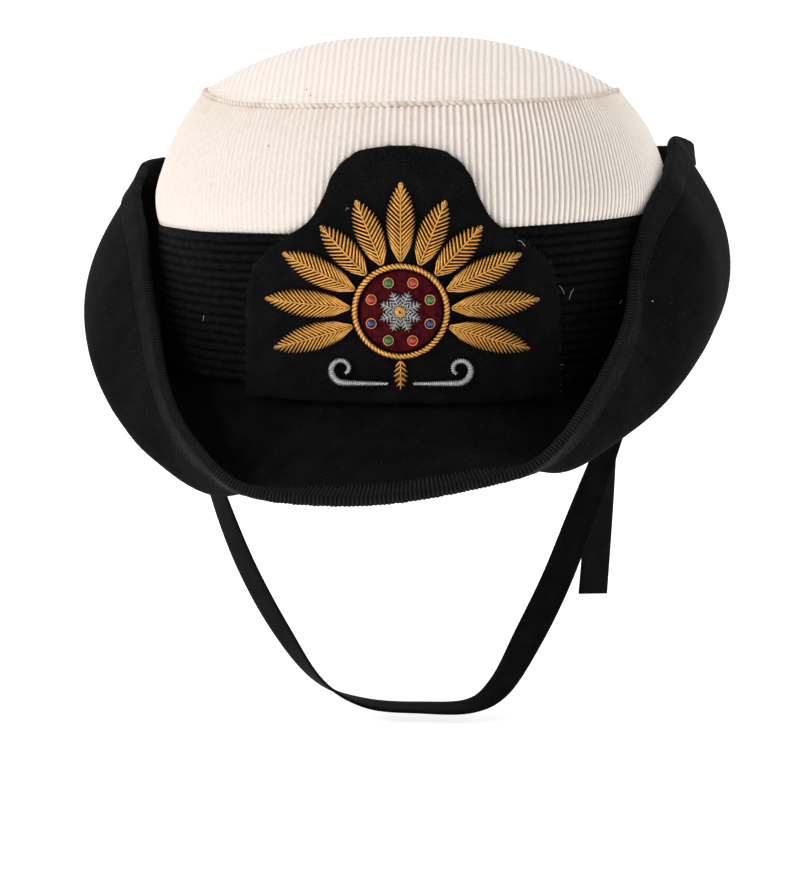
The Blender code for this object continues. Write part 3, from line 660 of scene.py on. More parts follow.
def wire_finish(name, colour, shade, roughness):
    """Metal embroidery wire, tightly coiled and dulled, with painted shade on each wire's underside and down
    between the wires.
    """
    finish = Finish(name, colour, roughness, Metallic=1.0)
    # The shade colour is painted shade on the wires' undersides and on padding, which has no weave height.
    finish.tint((finish.weave(HEIGHT), 0.25, shade, 0.75, colour),
                (finish.noise(1.6 * MM, 3.0), 0.3, 0.7, 0.65, 1.0))
    worn = {"Value": finish.noise(2.5 * MM), "To Min": roughness - 0.08, "To Max": roughness + 0.12}
    made = finish.node("ShaderNodeMapRange", worn)
    finish.tree.links.new(made.outputs["Result"], finish.shader.inputs["Roughness"])
    return finish.bump((finish.threads(finish.weave(ALONG), 0.3 * MM), 0.06 * MM, 0.7))


def velvet_finish():
    """Deep red velvet."""
    finish = Finish("red_velvet_pile", (0.05, 0.003, 0.006), 0.9, **cloth(0.15, 0.3, 0.05),
                    Sheen_Tint=rgba((0.5, 0.05, 0.07)))
    finish.tint((finish.noise(1.5 * MM, 3.0), 0.3, (0.03, 0.002, 0.004), 0.7, (0.09, 0.006, 0.012)))
    return finish.bump((finish.noise(0.4 * MM, 3.0), 0.15 * MM, 0.6))


# Brim

def brim_course(azimuth, places):
    """The brim's middle line in section, for each azimuth at each place.

    Places run from 0 at the collar to 1 where the binding starts and 2 at the edge.
    """
    edge_out, edge_rise, leave, leave_reach, arrive, arrive_reach = read_brim(azimuth).T[:, :, None]
    t = np.linspace(0, 1, 91)
    leave, arrive = np.radians(leave), np.radians(arrive)
    course = []
    for start, edge, way in ((FELT, edge_out, np.cos), (COLLAR_FOOT - BRIM_DROP, edge_rise, np.sin)):
        end = edge * BRIM_WIDTH
        lead = start + leave_reach * BRIM_WIDTH * way(leave)
        tail = end - arrive_reach * BRIM_WIDTH * way(arrive)
        course.append(start * (1 - t) ** 3 + lead * 3 * t * (1 - t) ** 2
                      + tail * 3 * t ** 2 * (1 - t) + end * t ** 3)
    found = []
    for line in np.stack(course, axis=-1):
        lengths = lengths_along(line)
        bound = lengths[-1] - BINDING_WIDTH
        wanted = np.where(places < 1, places * bound, bound + (places - 1) * BINDING_WIDTH)
        found.append(at_lengths(wanted, lengths, line))
    return np.array(found)


def brim_surface(azimuth, places):
    """The brim's middle surface and its upper side's direction, round the head by azimuth and outwards."""
    course = brim_course(azimuth, places)
    points = head_points(azimuth[:, None], course[..., 0], course[..., 1])
    normals = grid_normals(points)
    swell = 0.3 * MM * ripple(points, 45 * MM, 11) * np.clip(places * 2, 0, 1)
    return points + normals * swell[..., None], normals


def brim_edge(azimuth):
    """The brim's outer edge."""
    return brim_surface(azimuth, np.array((1.9, 2.0)))[0][:, -1]


def make_brim(material, hair):
    """The felt brim with its collar, and the fine hairs on it."""
    azimuth, _ = even_azimuths(brim_edge, 540)
    places = np.hstack((np.linspace(0.02, 0.96, 44), (1.0, 1.3, 1.6, 1.9)))
    collar_out, collar_rise = np.array(COLLAR_ROWS).T * MM
    collar = head_points(azimuth[:, None], collar_out, collar_rise)
    points = np.hstack((collar, brim_surface(azimuth, places)[0]))
    normals = grid_normals(points)
    upper = points + normals * FELT / 2
    lower = points - normals * FELT / 2
    brim = Form().add(np.hstack((upper, lower[:, ::-1])), closed=True)
    brim.make("felt_brim", material, "black_felt", "brim")
    shown = slice(len(collar_out), -3)
    faces = np.vstack((upper[:, shown], lower[:, shown])).reshape(-1, 3)
    ways = np.vstack((normals[:, shown], -normals[:, shown])).reshape(-1, 3)
    Form().add(fuzz(faces, ways, *FELT_HAIRS)).make("felt_hairs", hair, "black_felt")


def make_binding(material):
    """The ribbon folded over the brim's edge, its ribs square to the edge."""
    samples = 4
    azimuth, length = even_azimuths(brim_edge, pitch=RIBBON_RIB, samples=samples)
    phase = (np.arange(len(azimuth)) / samples)[:, None]
    places, lifts, flank = np.array(FLANK_ROWS).T
    points, normals = brim_surface(azimuth, places)
    edge, up = points[:, -1:], normals[:, -1:]
    ahead = unit(points[:, -1:] - points[:, -3:-2])
    outer = FELT / 2 + RIBBON
    folded = np.array(FOLD_ROWS)
    nose = edge + (ahead * folded[:, :1] + up * folded[:, 1:2]) * outer
    stand = normals * (FELT / 2 + RIBBON * lifts)[:, None]
    skin = np.hstack((points + stand, nose, (points - stand)[:, ::-1]))
    way = unit(np.hstack((normals, nose - edge, -normals[:, ::-1])))
    strength = np.hstack((flank, folded[:, 2], flank[::-1]))
    height = rib(phase + ripple(skin, 14 * MM, 31) * 0.06, 2.0)
    relief = ((height - 0.5) * strength + 0.16 * ripple(skin, 4 * MM, 32)) * RIBBON_RELIEF
    skin = skin + way * relief[..., None]
    inner = FELT / 2 + 0.03 * MM
    inside = np.hstack(((points - normals * inner)[:, (0, 4)], edge + ahead * 0.05 * MM,
                        (points + normals * inner)[:, (4, 0)]))
    rings = np.hstack((skin, inside))
    weave = woven(rings, np.arange(rings.shape[1]) * MM, phase * RIBBON_RIB, height * strength)
    binding = Form().add(rings, closed=True, weave=weave)
    piece = binding.make("edge_binding", material, "black_ribbon", "brim_binding")


def make_binding_stitches(material):
    """A row of small stitches near each of the ribbon's long edges, each sunk at both ends."""
    middle, _ = even_azimuths(brim_edge, pitch=STITCH_PITCH)
    form = Form()
    for side in (1, -1):
        spots = []
        for share, lift in ((-0.24, -0.04), (0.0, 0.08), (0.24, -0.04)):
            shifted = middle + share * TURN / len(middle)
            points, normals = brim_surface(shifted, np.array((1.08, 1.16, 1.3)))
            spots.append(points[:, 1] + side * normals[:, 1] * (FELT / 2 + RIBBON + lift * MM))
        paths = np.stack(spots, axis=1)
        form.add(tube_rings(paths, unit(paths - paths.mean(axis=(0, 1))), STITCH_RADIUS, 6))
    form.make("binding_stitches", material, "black_ribbon")


# Crown

def band_top(azimuth):
    """The band's upper edge, which rises a little towards +X."""
    return BAND_FOOT + BAND_HEIGHT + math.tan(BAND_TILT) * HEAD_HALF_WIDTH * np.sin(azimuth)


def seam_dip(azimuth):
    """How far the seam is lower than at the sides: alike across the front and back, and more towards -X."""
    side = np.sin(azimuth)
    return SEAM_DIP * (1 - np.abs(side) ** SEAM_CORNER) * (1 - SEAM_SLANT * side)


def rib_course(azimuth, out):
    """The azimuths of ribs at distances out.

    They run straight up at the front and back, and close up towards the sides.
    """
    spread = (HEAD_HALF_WIDTH + CROWN_OUT + 0.6 * CROWN_SWELL) / (HEAD_HALF_WIDTH + out) - 1
    return azimuth + 0.5 * spread * np.sin(2 * azimuth)


def crown_profile(azimuth, shares):
    """The side panel's outer face above the band, rib by rib: azimuths, distances out and rises, by share."""
    swell, inset = read_rows(CROWN_ROWS, shares).T
    out = CROWN_OUT + swell * CROWN_SWELL - inset * (CROWN_OUT + SEAM_INSET)
    course = rib_course(azimuth[:, None], out)
    start = band_top(course)
    rise = start + shares * (CROWN_HEIGHT - start) - shares ** 2 * seam_dip(course)
    return course, np.broadcast_to(out, rise.shape), rise


def make_crown_side(material):
    """The white panel round the crown, with upright ribs that stand out more towards +X, where more painted
    shade also darkens their grooves.

    It rests on the band's upper edge and is tucked under the band from there.
    """
    azimuth, length = even_azimuths(oval(CROWN_OUT), pitch=CROWN_RIB, samples=RIB_SAMPLES)
    shares = np.hstack((np.linspace(0.009, 0.94, 20), (0.965, 0.985, 1.0)))
    course, out, rise = crown_profile(azimuth, shares)
    inwards, up, fading = np.array(TUCK_ROWS).T
    foot = np.full((len(azimuth), 1), CROWN_OUT)
    out = np.hstack((foot, foot, out, out[:, -1:] - inwards * MM))
    rise = np.hstack((foot * 0 + PANEL_FOOT, rise[:, :1], rise, rise[:, -1:] + up * MM))
    course = np.pad(course, ((0, 0), (2, len(up))), mode="edge")
    points = head_points(course, out, rise)
    normals = -grid_normals(points)
    normals[:, 1] = normals[:, 0]
    phase = (np.arange(len(azimuth)) / RIB_SAMPLES)[:, None] + ripple(points, 60 * MM, 41) * 0.12
    height = rib(phase)
    strength = np.hstack(((0.0, 0.0, 0.6), np.ones(len(shares) - 1), fading))
    strength = strength * (1 + RIB_SLANT * np.sin(azimuth))[:, None]
    relief = (height - 0.5) * strength * CROWN_RELIEF + 0.12 * MM * ripple(points, 30 * MM, 42)
    kept = [*range(len(shares) + 1, 3, -4), 1, 0]
    inner = (points - normals * CROWN_CLOTH)[:, kept]
    rings = np.hstack((points + normals * relief[..., None], inner))
    # Painted shade in the grooves: weak towards -X and full towards +X, the side the light grazes. The inner
    # face, with a height of 0, takes the painted groove shade too.
    groove_shade_strength = np.clip(0.35 + 0.75 * np.sin(azimuth), 0.05, 1.0)[:, None]
    below_seam = (CROWN_HEIGHT - seam_dip(azimuth))[:, None] - rings[..., 2]
    weave = woven(rings, (azimuth * HEAD_HALF_LENGTH)[:, None], below_seam, 0.55 + (height - 0.55) * groove_shade_strength)
    panel = Form().add(rings, closed=True, weave=weave)
    piece = panel.make("crown_side_panel", material, "white_cloth", "crown_side")


def make_crown_seam(material):
    """The rolled seam between the two white panels, with slanting stitches sunk in it, one for each rib, and
    painted shade in them.
    """
    azimuth, _ = even_azimuths(oval(-SEAM_INSET), pitch=CROWN_RIB, samples=RIB_SAMPLES)
    azimuth = rib_course(azimuth, -SEAM_INSET)
    rise = CROWN_HEIGHT + SEAM_LIFT - seam_dip(azimuth)
    middle = head_points(azimuth, -SEAM_INSET - 0.6 * SEAM_WIDTH, rise)
    middle[:, 2] += 0.10 * MM * ripple(middle, 9 * MM, 52)
    turn = TURN * np.arange(12) / 12
    # The height drops to 0 along each sunk stitch, where the seam's finish paints shade.
    height = rib((np.arange(len(azimuth)) / RIB_SAMPLES)[:, None] + 0.3 * np.sin(turn), 0.9)
    size = 0.84 + 0.12 * height + 0.06 * ripple(middle, 5 * MM, 51)[:, None]
    across = outwards(middle)[:, None] * (SEAM_WIDTH / 2 * np.cos(turn))[:, None]
    upward = np.array((0, 0, 1)) * (SEAM_HEIGHT / 2 * np.sin(turn))[:, None]
    rings = middle[:, None] + size[..., None] * (across + upward)
    weave = woven(rings, (azimuth * HEAD_HALF_LENGTH)[:, None], 0.0, height)
    Form().add(rings, closed=True, weave=weave).make("crown_seam_roll", material, "white_cloth", "crown_seam")


def tip_height(x, y):
    """The domed top's outer face over a place inside the seam."""
    share = np.hypot(x / TIP_HALF_WIDTH, y / TIP_HALF_LENGTH)
    dip = seam_dip(np.arctan2(x / TIP_HALF_WIDTH, -y / TIP_HALF_LENGTH)) * share ** 2
    return CROWN_HEIGHT + SEAM_ROLL - dip + TIP_RISE * (1 - np.minimum(share, 1) ** TIP_FULLNESS)


def make_crown_tip(material):
    """The domed top panel, with ribs that run straight from front to back, and painted shade in their grooves
    that grows towards +X.
    """
    ribs = 2 * round(TIP_HALF_WIDTH / CROWN_RIB)
    x = np.linspace(-TIP_SPAN, TIP_SPAN, ribs * RIB_SAMPLES + 1)[:, None] * TIP_HALF_WIDTH
    reach = TIP_HALF_LENGTH * np.sqrt(1 - (x / TIP_HALF_WIDTH) ** 2)
    y = np.sin(np.linspace(-math.pi / 2, math.pi / 2, 46)) * reach
    x = np.broadcast_to(x, y.shape)
    top = np.stack((x, y, tip_height(x, y)), axis=-1)
    height = rib(x / TIP_HALF_WIDTH / TIP_SPAN * ribs / 2 + ripple(top, 70 * MM, 61) * 0.15)
    rim = np.hypot(x / TIP_HALF_WIDTH, y / TIP_HALF_LENGTH)
    fade = np.clip((1.0 - rim) / 0.02, 0.35, 1.0)
    relief = (height - 0.5) * fade * TIP_RELIEF + 0.15 * MM * ripple(top, 35 * MM, 62)
    tucked = np.clip((rim - 0.985) / 0.015, 0, 1) ** 2 * 0.9 * MM
    upper = top + np.stack((x * 0, x * 0, relief - tucked), axis=-1)
    lower = (top - np.array((0, 0, CROWN_CLOTH + 0.3 * MM)))[:, ::-5]
    rings = np.hstack((upper, lower))
    # Painted shade in the grooves, stronger towards +X, the side the light grazes.
    groove_shade_strength = 0.6 + 0.6 * x / TIP_HALF_WIDTH
    weave = woven(rings, rings[..., 0], TIP_HALF_LENGTH, 0.55 + (height - 0.55) * groove_shade_strength, inside=1.0)
    weave[:, :upper.shape[1], 1] = (1 - rim) * TIP_HALF_LENGTH
    piece = Form().add(rings, weave=weave).make("crown_top_panel", material, "white_cloth", "crown_tip")


def make_band(material, hair):
    """The braid of hairy cords round the crown, and its loose hairs."""
    samples = 7
    azimuth, length = even_azimuths(oval(BAND_OUT), 560)
    step = np.arange(BAND_CORDS * samples + 1) / samples
    cord = rib(step, CORD_ROUNDNESS)
    top = band_top(azimuth)[:, None]
    rise = BAND_FOOT + (top - BAND_FOOT) * step / BAND_CORDS
    out = BAND_OUT - CORD_DEPTH * (1 - cord)
    flat = head_points(azimuth[:, None], out, rise)
    wobble = 0.16 * MM * ripple(flat * (1, 1, 3), 5 * MM, 71) + 0.12 * MM * ripple(flat, 26 * MM, 72)
    lift = 0.1 * MM * ripple(flat, 18 * MM, 73)
    outside = head_points(azimuth[:, None], out + wobble, rise + lift)
    ends = np.hstack((top, np.full_like(top, BAND_FOOT)))
    inside = head_points(azimuth[:, None], CROWN_OUT + GAP + 0.1 * MM, ends)
    rings = np.hstack((outside, inside))
    shifts = np.hstack((np.floor(step), (0, 0))) * 0.8 * MM
    weave = woven(rings, (azimuth * (HEAD_HALF_LENGTH + BAND_OUT))[:, None] + shifts, 0.0, cord)
    band = Form().add(rings, closed=True, weave=weave)
    piece = band.make("corded_band", material, "black_braid", "hat_band")
    ridges = outside[:, 2:-2].reshape(-1, 3)
    Form().add(fuzz(ridges, outwards(ridges), *BAND_HAIRS)).make("band_hairs", hair, "black_braid")


# Patch and badge

def patch_out(rise):
    """How far the patch's inner face is from the head oval: on the band, then up the crown's front."""
    band_end = BAND_FOOT + BAND_HEIGHT
    _, outs, rises = crown_profile(np.zeros(1), np.linspace(0, 1, 41))
    behind = np.interp(rise, rises[0], outs[0], left=CROWN_OUT)
    above = np.clip(rise - band_end, 0, None) / (PATCH_FOOT + PATCH_HEIGHT - band_end)
    return np.maximum(BAND_OUT, behind) * (1 - above) + behind * above + PATCH_SEAT + PATCH_STAND * above


def on_patch(across, rise, lift):
    """Points over the patch's outer face."""
    out = patch_out(rise) + PATCH_CLOTH + lift
    return head_points(np.arcsin(across / (HEAD_HALF_WIDTH + out)), out, rise)


def make_patch(material, hair):
    """The napped cloth patch, a sheet bent round the band, with a fluffy cut edge."""
    shares = np.sin(np.linspace(0, math.pi / 2, 70))
    rises = PATCH_FOOT + shares * PATCH_HEIGHT
    half = read_rows(PATCH_ROWS, shares)[:, 0] * PATCH_HALF_WIDTH
    share = np.linspace(-1, 1, 49)
    across = half[:, None] * share
    rise = np.broadcast_to(rises[:, None], across.shape)
    wave = 0.25 * MM * ripple(np.stack((across, rise, rise * 0), axis=-1), 28 * MM, 81)
    rounding = 0.35 * MM * np.clip((np.abs(share) - 0.97) / 0.03, 0, 1)
    front = on_patch(across, rise, wave - rounding)
    back = on_patch(across, rise, -PATCH_CLOTH + 0.1 * MM)[:, ::-1]
    patch = Form().add(np.hstack((front, back)))
    piece = patch.make("badge_patch", material, "badge_cloth", "badge_backing")
    edges = on_patch(np.hstack((-half, half)), np.hstack((rises, rises)), -0.5 * MM)
    middle = on_patch(np.zeros(1), np.array((BADGE_RISE,)), 0.0)
    form = Form().add(fuzz(edges, unit(edges - middle), *PATCH_EDGE_HAIRS))
    faces = front[2:-2, 2:-2].reshape(-1, 3)
    form.add(fuzz(faces, outwards(faces), *PATCH_HAIRS)).make("patch_hairs", hair, "badge_cloth")


def badge_ray(angle):
    """Directions on the patch at angles from straight up, positive towards +X."""
    return np.stack((np.sin(angle), np.cos(angle)), axis=-1)


def badge_place(radius, angle):
    """Places on the patch round the badge's centre."""
    return np.array((0.0, BADGE_RISE)) + np.asarray(radius)[..., None] * badge_ray(angle)


def over_badge(radius, angle, lift):
    """Points over the patch round the badge's centre."""
    place = badge_place(radius, angle)
    return on_patch(place[..., 0], place[..., 1], lift)


def leaf(form, root, tip, width, thickness, seat=BADGE_SEAT, wire=WIRE):
    """A padded leaf in slanting wires that meet along its middle, with a thin wire down the middle."""
    root, tip = np.array(root), np.array(tip)
    length = np.linalg.norm(tip - root)
    along = (tip - root) / length
    side = np.array((-along[1], along[0]))

    def spot(share, across, lift):
        place = root + along * (share * length)[..., None] + side * across[..., None]
        return on_patch(place[..., 0], place[..., 1], seat + lift)

    def half_width(share):
        return read_rows(LEAF_ROWS, share)[..., 0] * width / 2

    def pad(share):
        return read_rows(LEAF_ROWS, share)[..., 1] * (thickness - wire)

    share = np.linspace(0.01, 0.985, 18)[:, None]
    round_turn = np.radians((0, 0, 40, 90, 140, 180, 180))
    hem = half_width(share) * 0.82 * np.cos(round_turn)
    over = np.array((0, 0.2, 0.65, 0.9, 0.65, 0.2, 0)) * (pad(share) - 0.6 * wire)
    # The padding has no weave height, so the wire finish paints it all in its shade colour, as shade between
    # the wires.
    form.add(spot(np.broadcast_to(share, hem.shape), hem, over))
    starts = np.linspace(-0.02, 0.93, int(length / (4.1 * wire)))
    reach = np.linspace(0, 1, 7)
    ends = np.minimum(starts + 0.23 - 0.14 * starts, 1.0)
    shares = np.clip(starts[:, None] + (ends - starts)[:, None] * reach, 0.0, 1.0)
    bow = np.sqrt(np.clip(1 - (0.95 * reach) ** 2, 0, 1))
    taper = np.array((0.9, 1.05, 1.05, 1.0, 1.0, 0.95, 0.7))
    for sign in (-1, 1):
        across = sign * half_width(ends)[:, None] * reach
        form.add_wires(spot(shares, across, pad(shares) * bow + 0.4 * wire), wire * taper)
    share = np.linspace(0.0, 1.0, 14)
    form.add_wires(spot(share, share * 0, pad(share) + 1.2 * wire), 0.8 * wire, 6)


def make_leaves(gold):
    """Gold petals that fan out round the rim, and a small gold leaf under it."""
    start = RIM_RADIUS + RIM_THICKNESS / 2 + GAP
    last = len(PETAL_REACHES) - 1
    for index in range(-last, last + 1):
        angle = PETAL_STEP * index
        form = Form()
        leaf(form, badge_place(start, angle), badge_place(BADGE_REACH * PETAL_REACHES[abs(index)], angle),
             PETAL_WIDTH, PETAL_THICKNESS)
        number = f"{index + last + 1:02d}"
        form.make(f"petal_{number}_embroidery", gold, "gold_bullion", f"badge_petal_{number}")
    form = Form()
    leaf(form, badge_place(start, math.pi), (0.0, PATCH_FOOT + DROP_FOOT), DROP_WIDTH, DROP_THICKNESS)
    form.make("drop_embroidery", gold, "gold_bullion", "badge_drop")


def make_velvet(material):
    """The velvet disc, a low round dome, and its pile."""
    slope = np.linspace(0.1, math.pi / 2 * 0.97, 10)
    radius = VELVET_RADIUS * np.hstack((1.0, np.cos(slope)))
    lift = VELVET_THICKNESS * np.hstack((0.0, np.sin(slope)))
    angle = TURN * np.arange(64) / 64
    disc = Form().add(over_badge(radius[:, None], angle, BADGE_SEAT + lift[:, None]))
    disc.make("velvet_disc", material, "red_velvet", "badge_velvet")
    count = VELVET_PILE[0]
    random = np.random.default_rng(91)
    radius = VELVET_RADIUS * 0.97 * np.sqrt(random.uniform(0, 1, count))
    lift = BADGE_SEAT + VELVET_THICKNESS * np.sqrt(np.clip(1 - (radius / VELVET_RADIUS) ** 2, 0, 1)) * 0.97
    points = over_badge(radius, random.uniform(0, TURN, count), lift)
    Form().add(fuzz(points, outwards(points), *VELVET_PILE)).make("velvet_pile", material, "red_velvet")


def make_rim(gold):
    """The gold rope round the velvet, of two strands."""
    count = ROPE_TURNS * 14
    angle = TURN * np.arange(count) / count
    form = Form()
    for strand in (0, 1):
        phase = ROPE_TURNS * angle + strand * math.pi
        lift = BADGE_SEAT + RIM_THICKNESS / 2 + ROPE_TWIST * np.sin(phase)
        path = over_badge(RIM_RADIUS + ROPE_TWIST * np.cos(phase), angle, lift)
        form.add_wires(path, ROPE_WIRE, closed=True)
    form.make("rope_rim", gold, "gold_bullion", "badge_rim")


def make_rosette(silver, gold):
    """A silver flower of eight small leaves, round a gold coil."""
    form = Form()
    for lobe in range(ROSETTE_LOBES):
        angle = TURN * (lobe + 0.5) / ROSETTE_LOBES
        leaf(form, badge_place(1.2 * MM, angle), badge_place(ROSETTE_RADIUS, angle), 4.2 * MM, 1.7 * MM,
             VELVET_TOP, FINE_WIRE)
    form.make("rosette_embroidery", silver, "silver_bullion", "badge_rosette")
    turns = 3
    phase = np.linspace(0, TURN * turns, 60)
    lift = VELVET_TOP + 2.1 * MM - phase / TURN / turns * 0.6 * MM
    path = over_badge(0.35 * MM + phase / TURN * 0.42 * MM, phase, lift)
    Form().add_wires(path, BEAD_WIRE).make("rosette_eye", gold, "gold_bullion")


def make_beads(finishes, gold):
    """Small coloured glass beads between the rosette and the rim, each in a gold collar."""
    latitude = np.radians(np.linspace(-84, 84, 13))[:, None, None]
    turn = TURN * np.arange(18)[:, None] / 18
    collars = Form()
    for index in range(BEAD_COUNT):
        angle = TURN * (index + 0.5) / BEAD_COUNT
        centre = over_badge((ROSETTE_RADIUS + VELVET_RADIUS) / 2, angle, VELVET_TOP + BEAD_RADIUS * 0.8)
        up = outwards(centre)
        side = unit(np.cross(up, (0, 0, 1.0)))
        ring = np.cos(turn) * side + np.sin(turn) * np.cross(side, up)
        points = centre + BEAD_RADIUS * (np.cos(latitude) * ring + np.sin(latitude) * up)
        slot, finish = finishes[index % len(finishes)]
        Form().add(points).make(f"bead_{index + 1}_glass", finish, slot, f"badge_bead_{index + 1}")
        collar = centre - up * 0.55 * MM + ring * (BEAD_RADIUS + 0.12 * MM)
        collars.add_wires(collar, BEAD_WIRE, 6, closed=True)
    collars.make("bead_collars", gold, "gold_bullion")


def scroll_course():
    """The +X scroll's middle line on the patch and its radius, finely spaced: a straight run, then a coil."""
    foot = PATCH_FOOT + SCROLL_FOOT
    run_end = SCROLL_REACH - 2 * SCROLL_COIL
    share = np.linspace(0, 1, 40)
    run = np.stack((SCROLL_ROOT + share * (run_end - SCROLL_ROOT), np.full(40, foot)), axis=-1)
    run_radius = SCROLL_THICKNESS / 2 * (0.5 + 0.42 * share)
    share = np.linspace(0, 1, 70)[1:]
    reach = SCROLL_COIL * (1 - 0.66 * share)
    coil = np.array((run_end, foot + SCROLL_COIL)) - reach[:, None] * badge_ray(-np.radians(330) * share)
    coil_radius = SCROLL_THICKNESS / 2 * (0.92 - 0.42 * share)
    return np.vstack((run, coil)), np.hstack((run_radius, coil_radius))


def make_scrolls(silver):
    """Two silver scrolls of fine wire wound round a core."""
    course, radius = scroll_course()
    samples = 11
    lengths = lengths_along(course)
    turns = int(lengths[-1] / SCROLL_PITCH)
    fine = np.linspace(0, lengths[-1], turns * samples)
    flat = at_lengths(fine, lengths, course)
    full = np.interp(fine, lengths, radius)
    way = unit(np.gradient(flat, axis=0))
    phase = TURN * turns * fine / lengths[-1]
    wound = full - 0.26 * MM
    place = flat + np.stack((-way[:, 1], way[:, 0]), axis=-1) * (wound * np.cos(phase))[:, None]
    for name, sign in (("left", -1), ("right", 1)):
        paths = on_patch(sign * place[:, 0], place[:, 1], BADGE_SEAT + full + wound * np.sin(phase))
        core = on_patch(sign * flat[:, 0], flat[:, 1], BADGE_SEAT + full)[::samples]
        form = Form().add_wires(paths, SCROLL_WIRE, 6).add_wires(core, wound[::samples], 8)
        form.make(f"scroll_{name}_embroidery", silver, "silver_bullion", f"badge_scroll_{name}")


# Straps

def tape(name, node, keys, count, material):
    """A woven tape with rounded edges along a smooth curve, from rows of a place and a turn in degrees."""
    keys = np.vstack(keys)
    keys[:, 3] = np.radians(keys[:, 3])
    course = smooth_line(keys, count)
    middle, turn = course[:, :3], course[:, 3:]
    along = unit(np.gradient(middle, axis=0))
    ahead = np.array((0.0, 1.0, 0.0))
    wide = unit(ahead - along * (along @ ahead)[:, None])
    thick = np.cross(along, wide)
    across = wide * np.cos(turn) + thick * np.sin(turn)
    through = thick * np.cos(turn) - wide * np.sin(turn)
    over = np.array((-1, -0.93, -0.5, 0, 0.5, 0.93, 1)) * (STRAP_WIDTH / 2)
    over = np.hstack((over, over[::-1]))
    deep = np.array((0.5, 0.95, 1, 0.94, 1, 0.95, 0.5)) * STRAP_CLOTH / 2
    deep = np.hstack((-deep, deep[::-1]))
    rings = middle[:, None] + across[:, None] * over[:, None] + through[:, None] * deep[:, None]
    length = lengths_along(middle)
    form = Form().add(rings, weave=woven(rings, length[:, None], over))
    piece = form.make(name, material, "black_tape", node)


def strap_seats(degrees, turn):
    """Three places down the collar's inner face, from where a strap is sewn on to the head opening."""
    rises = np.array((STRAP_TOP, STRAP_TOP / 2, 0.0))
    points = head_points(math.radians(degrees), -STRAP_SEAT - STRAP_CLOTH / 2, rises)
    return np.pad(points, ((0, 0), (0, 1)), constant_values=turn)


def make_straps(material):
    """The chin strap, and its free end on the +X side."""
    axes = np.array((HEAD_HALF_WIDTH, -HEAD_HALF_LENGTH, -STRAP_DROP, 1))
    left, right = strap_seats(-STRAP_AZIMUTH, 0), strap_seats(STRAP_AZIMUTH, 0)[::-1]
    tape("chin_strap_tape", "chin_strap", (left, STRAP_ROWS * axes, right), 220, material)
    azimuth = math.radians(TAIL_AZIMUTH)
    seat_turn = math.degrees(math.atan2(HEAD_HALF_WIDTH * math.cos(azimuth),
                                        HEAD_HALF_LENGTH * math.sin(azimuth)))
    axes[2] = -TAIL_DROP
    seats = strap_seats(TAIL_AZIMUTH, seat_turn)
    tape("strap_tail_tape", "strap_tail", (seats, TAIL_ROWS * axes), 110, material)


# Lint

def add_specks(form, rows):
    """Small lumps, longer than they are wide."""
    share = np.linspace(-0.5, 0.5, 5)
    for azimuth, out, rise, size in rows:
        across = share * (size * MM) / HEAD_HALF_LENGTH
        path = head_points(math.radians(azimuth) + across, out * MM, rise * MM + share * (size * MM))
        form.add_wires(path, size * MM / 2 * np.sqrt(1.02 - (2 * share) ** 2), 7)
    return form


def make_lint(pale, dirt):
    """A few stray pale fibres on the band and the patch, specks on the felt, and dirt on the crown."""
    form = Form()
    share = np.linspace(-0.5, 0.5, 7)
    for rows in (BAND_LINT, PATCH_LINT):
        for place, rise, length, turn in rows:
            along = share * length * MM
            across = along * math.cos(math.radians(turn))
            rise = rise * MM + along * math.sin(math.radians(turn)) + 0.3 * MM * np.cos(5 * share)
            if rows is BAND_LINT:
                azimuth = math.radians(place) + across / HEAD_HALF_LENGTH
                path = head_points(azimuth, BAND_OUT + 0.3 * MM, rise)
            else:
                path = on_patch(place * MM + across, rise, 0.25 * MM)
            form.add_wires(path, 0.06 * MM, 4)
    add_specks(form, FELT_SPECKS).make("stray_lint", pale, "white_cloth")
    add_specks(Form(), CROWN_SPECKS).make("crown_specks", dirt, "white_cloth")


# Stage

def make_floor():
    """A wide pale floor that rises gently far out, like a shallow dish."""
    radii = np.array((0.5, 1.0, 1.5, 2.0, 2.6, 3.2, 4.0, 5.0, 6.0, 7.0))[:, None]
    level = cad_box[0][2] - FLOOR_GAP
    rises = level + 2.5 * (np.clip(radii - 2.0, 0, None) / 5.0) ** 2
    turn = TURN * np.arange(72) / 72
    dish = np.broadcast_arrays(radii * np.cos(turn), radii * np.sin(turn), rises)
    form = Form().add(np.stack(dish, axis=-1))
    form.faces.pop()  # the lid, which a dish doesn't have
    pale = Finish("floor_pale", 0.93, 0.95, Specular_IOR_Level=0.0, Emission_Color=rgba(1.0),
                  Emission_Strength=FLOOR_GLOW)
    floor = form.build("floor", pale.material)


def make_lights():
    """A soft light from the left and a broad one from above, in a pale even surround."""
    world = bpy.data.worlds.new("surround")
    world.use_nodes = True
    background = world.node_tree.nodes["Background"]
    background.inputs["Color"].default_value = (1, 1, 1, 1)
    background.inputs["Strength"].default_value = SURROUND_STRENGTH
    bpy.context.scene.world = world
    bpy.context.scene.view_settings.view_transform = "Standard"
    for name, (place, size, power, colour) in LIGHTS.items():
        data = bpy.data.lights.new(name, "AREA")
        data.shape = "SQUARE"
        data.size = size
        data.energy = power
        data.color = colour
        light = add_object(name, data)
        x, y, z = np.array(LIGHT_AIM) - np.array(place)
        light.location = place
        light.rotation_euler = (math.atan2(math.hypot(x, y), -z), 0, math.atan2(-x, y))


def make_camera():
    """The camera where the photograph's was."""
    data = bpy.data.cameras.new("camera")
    data.lens = CAMERA_LENS
    data.sensor_width = 36
    data.clip_start = 0.01
    camera = add_object("camera", data)
    camera.location = (CAMERA_DISTANCE * math.sin(CAMERA_AZIMUTH),
                       -CAMERA_DISTANCE * math.cos(CAMERA_AZIMUTH), CAMERA_HEIGHT)
    aside = math.atan(AXIS_OFFSET_PX / FOCUS_PX)
    camera.rotation_euler = (math.pi / 2 - CAMERA_PITCH, 0, CAMERA_AZIMUTH + aside)
    bpy.context.scene.camera = camera


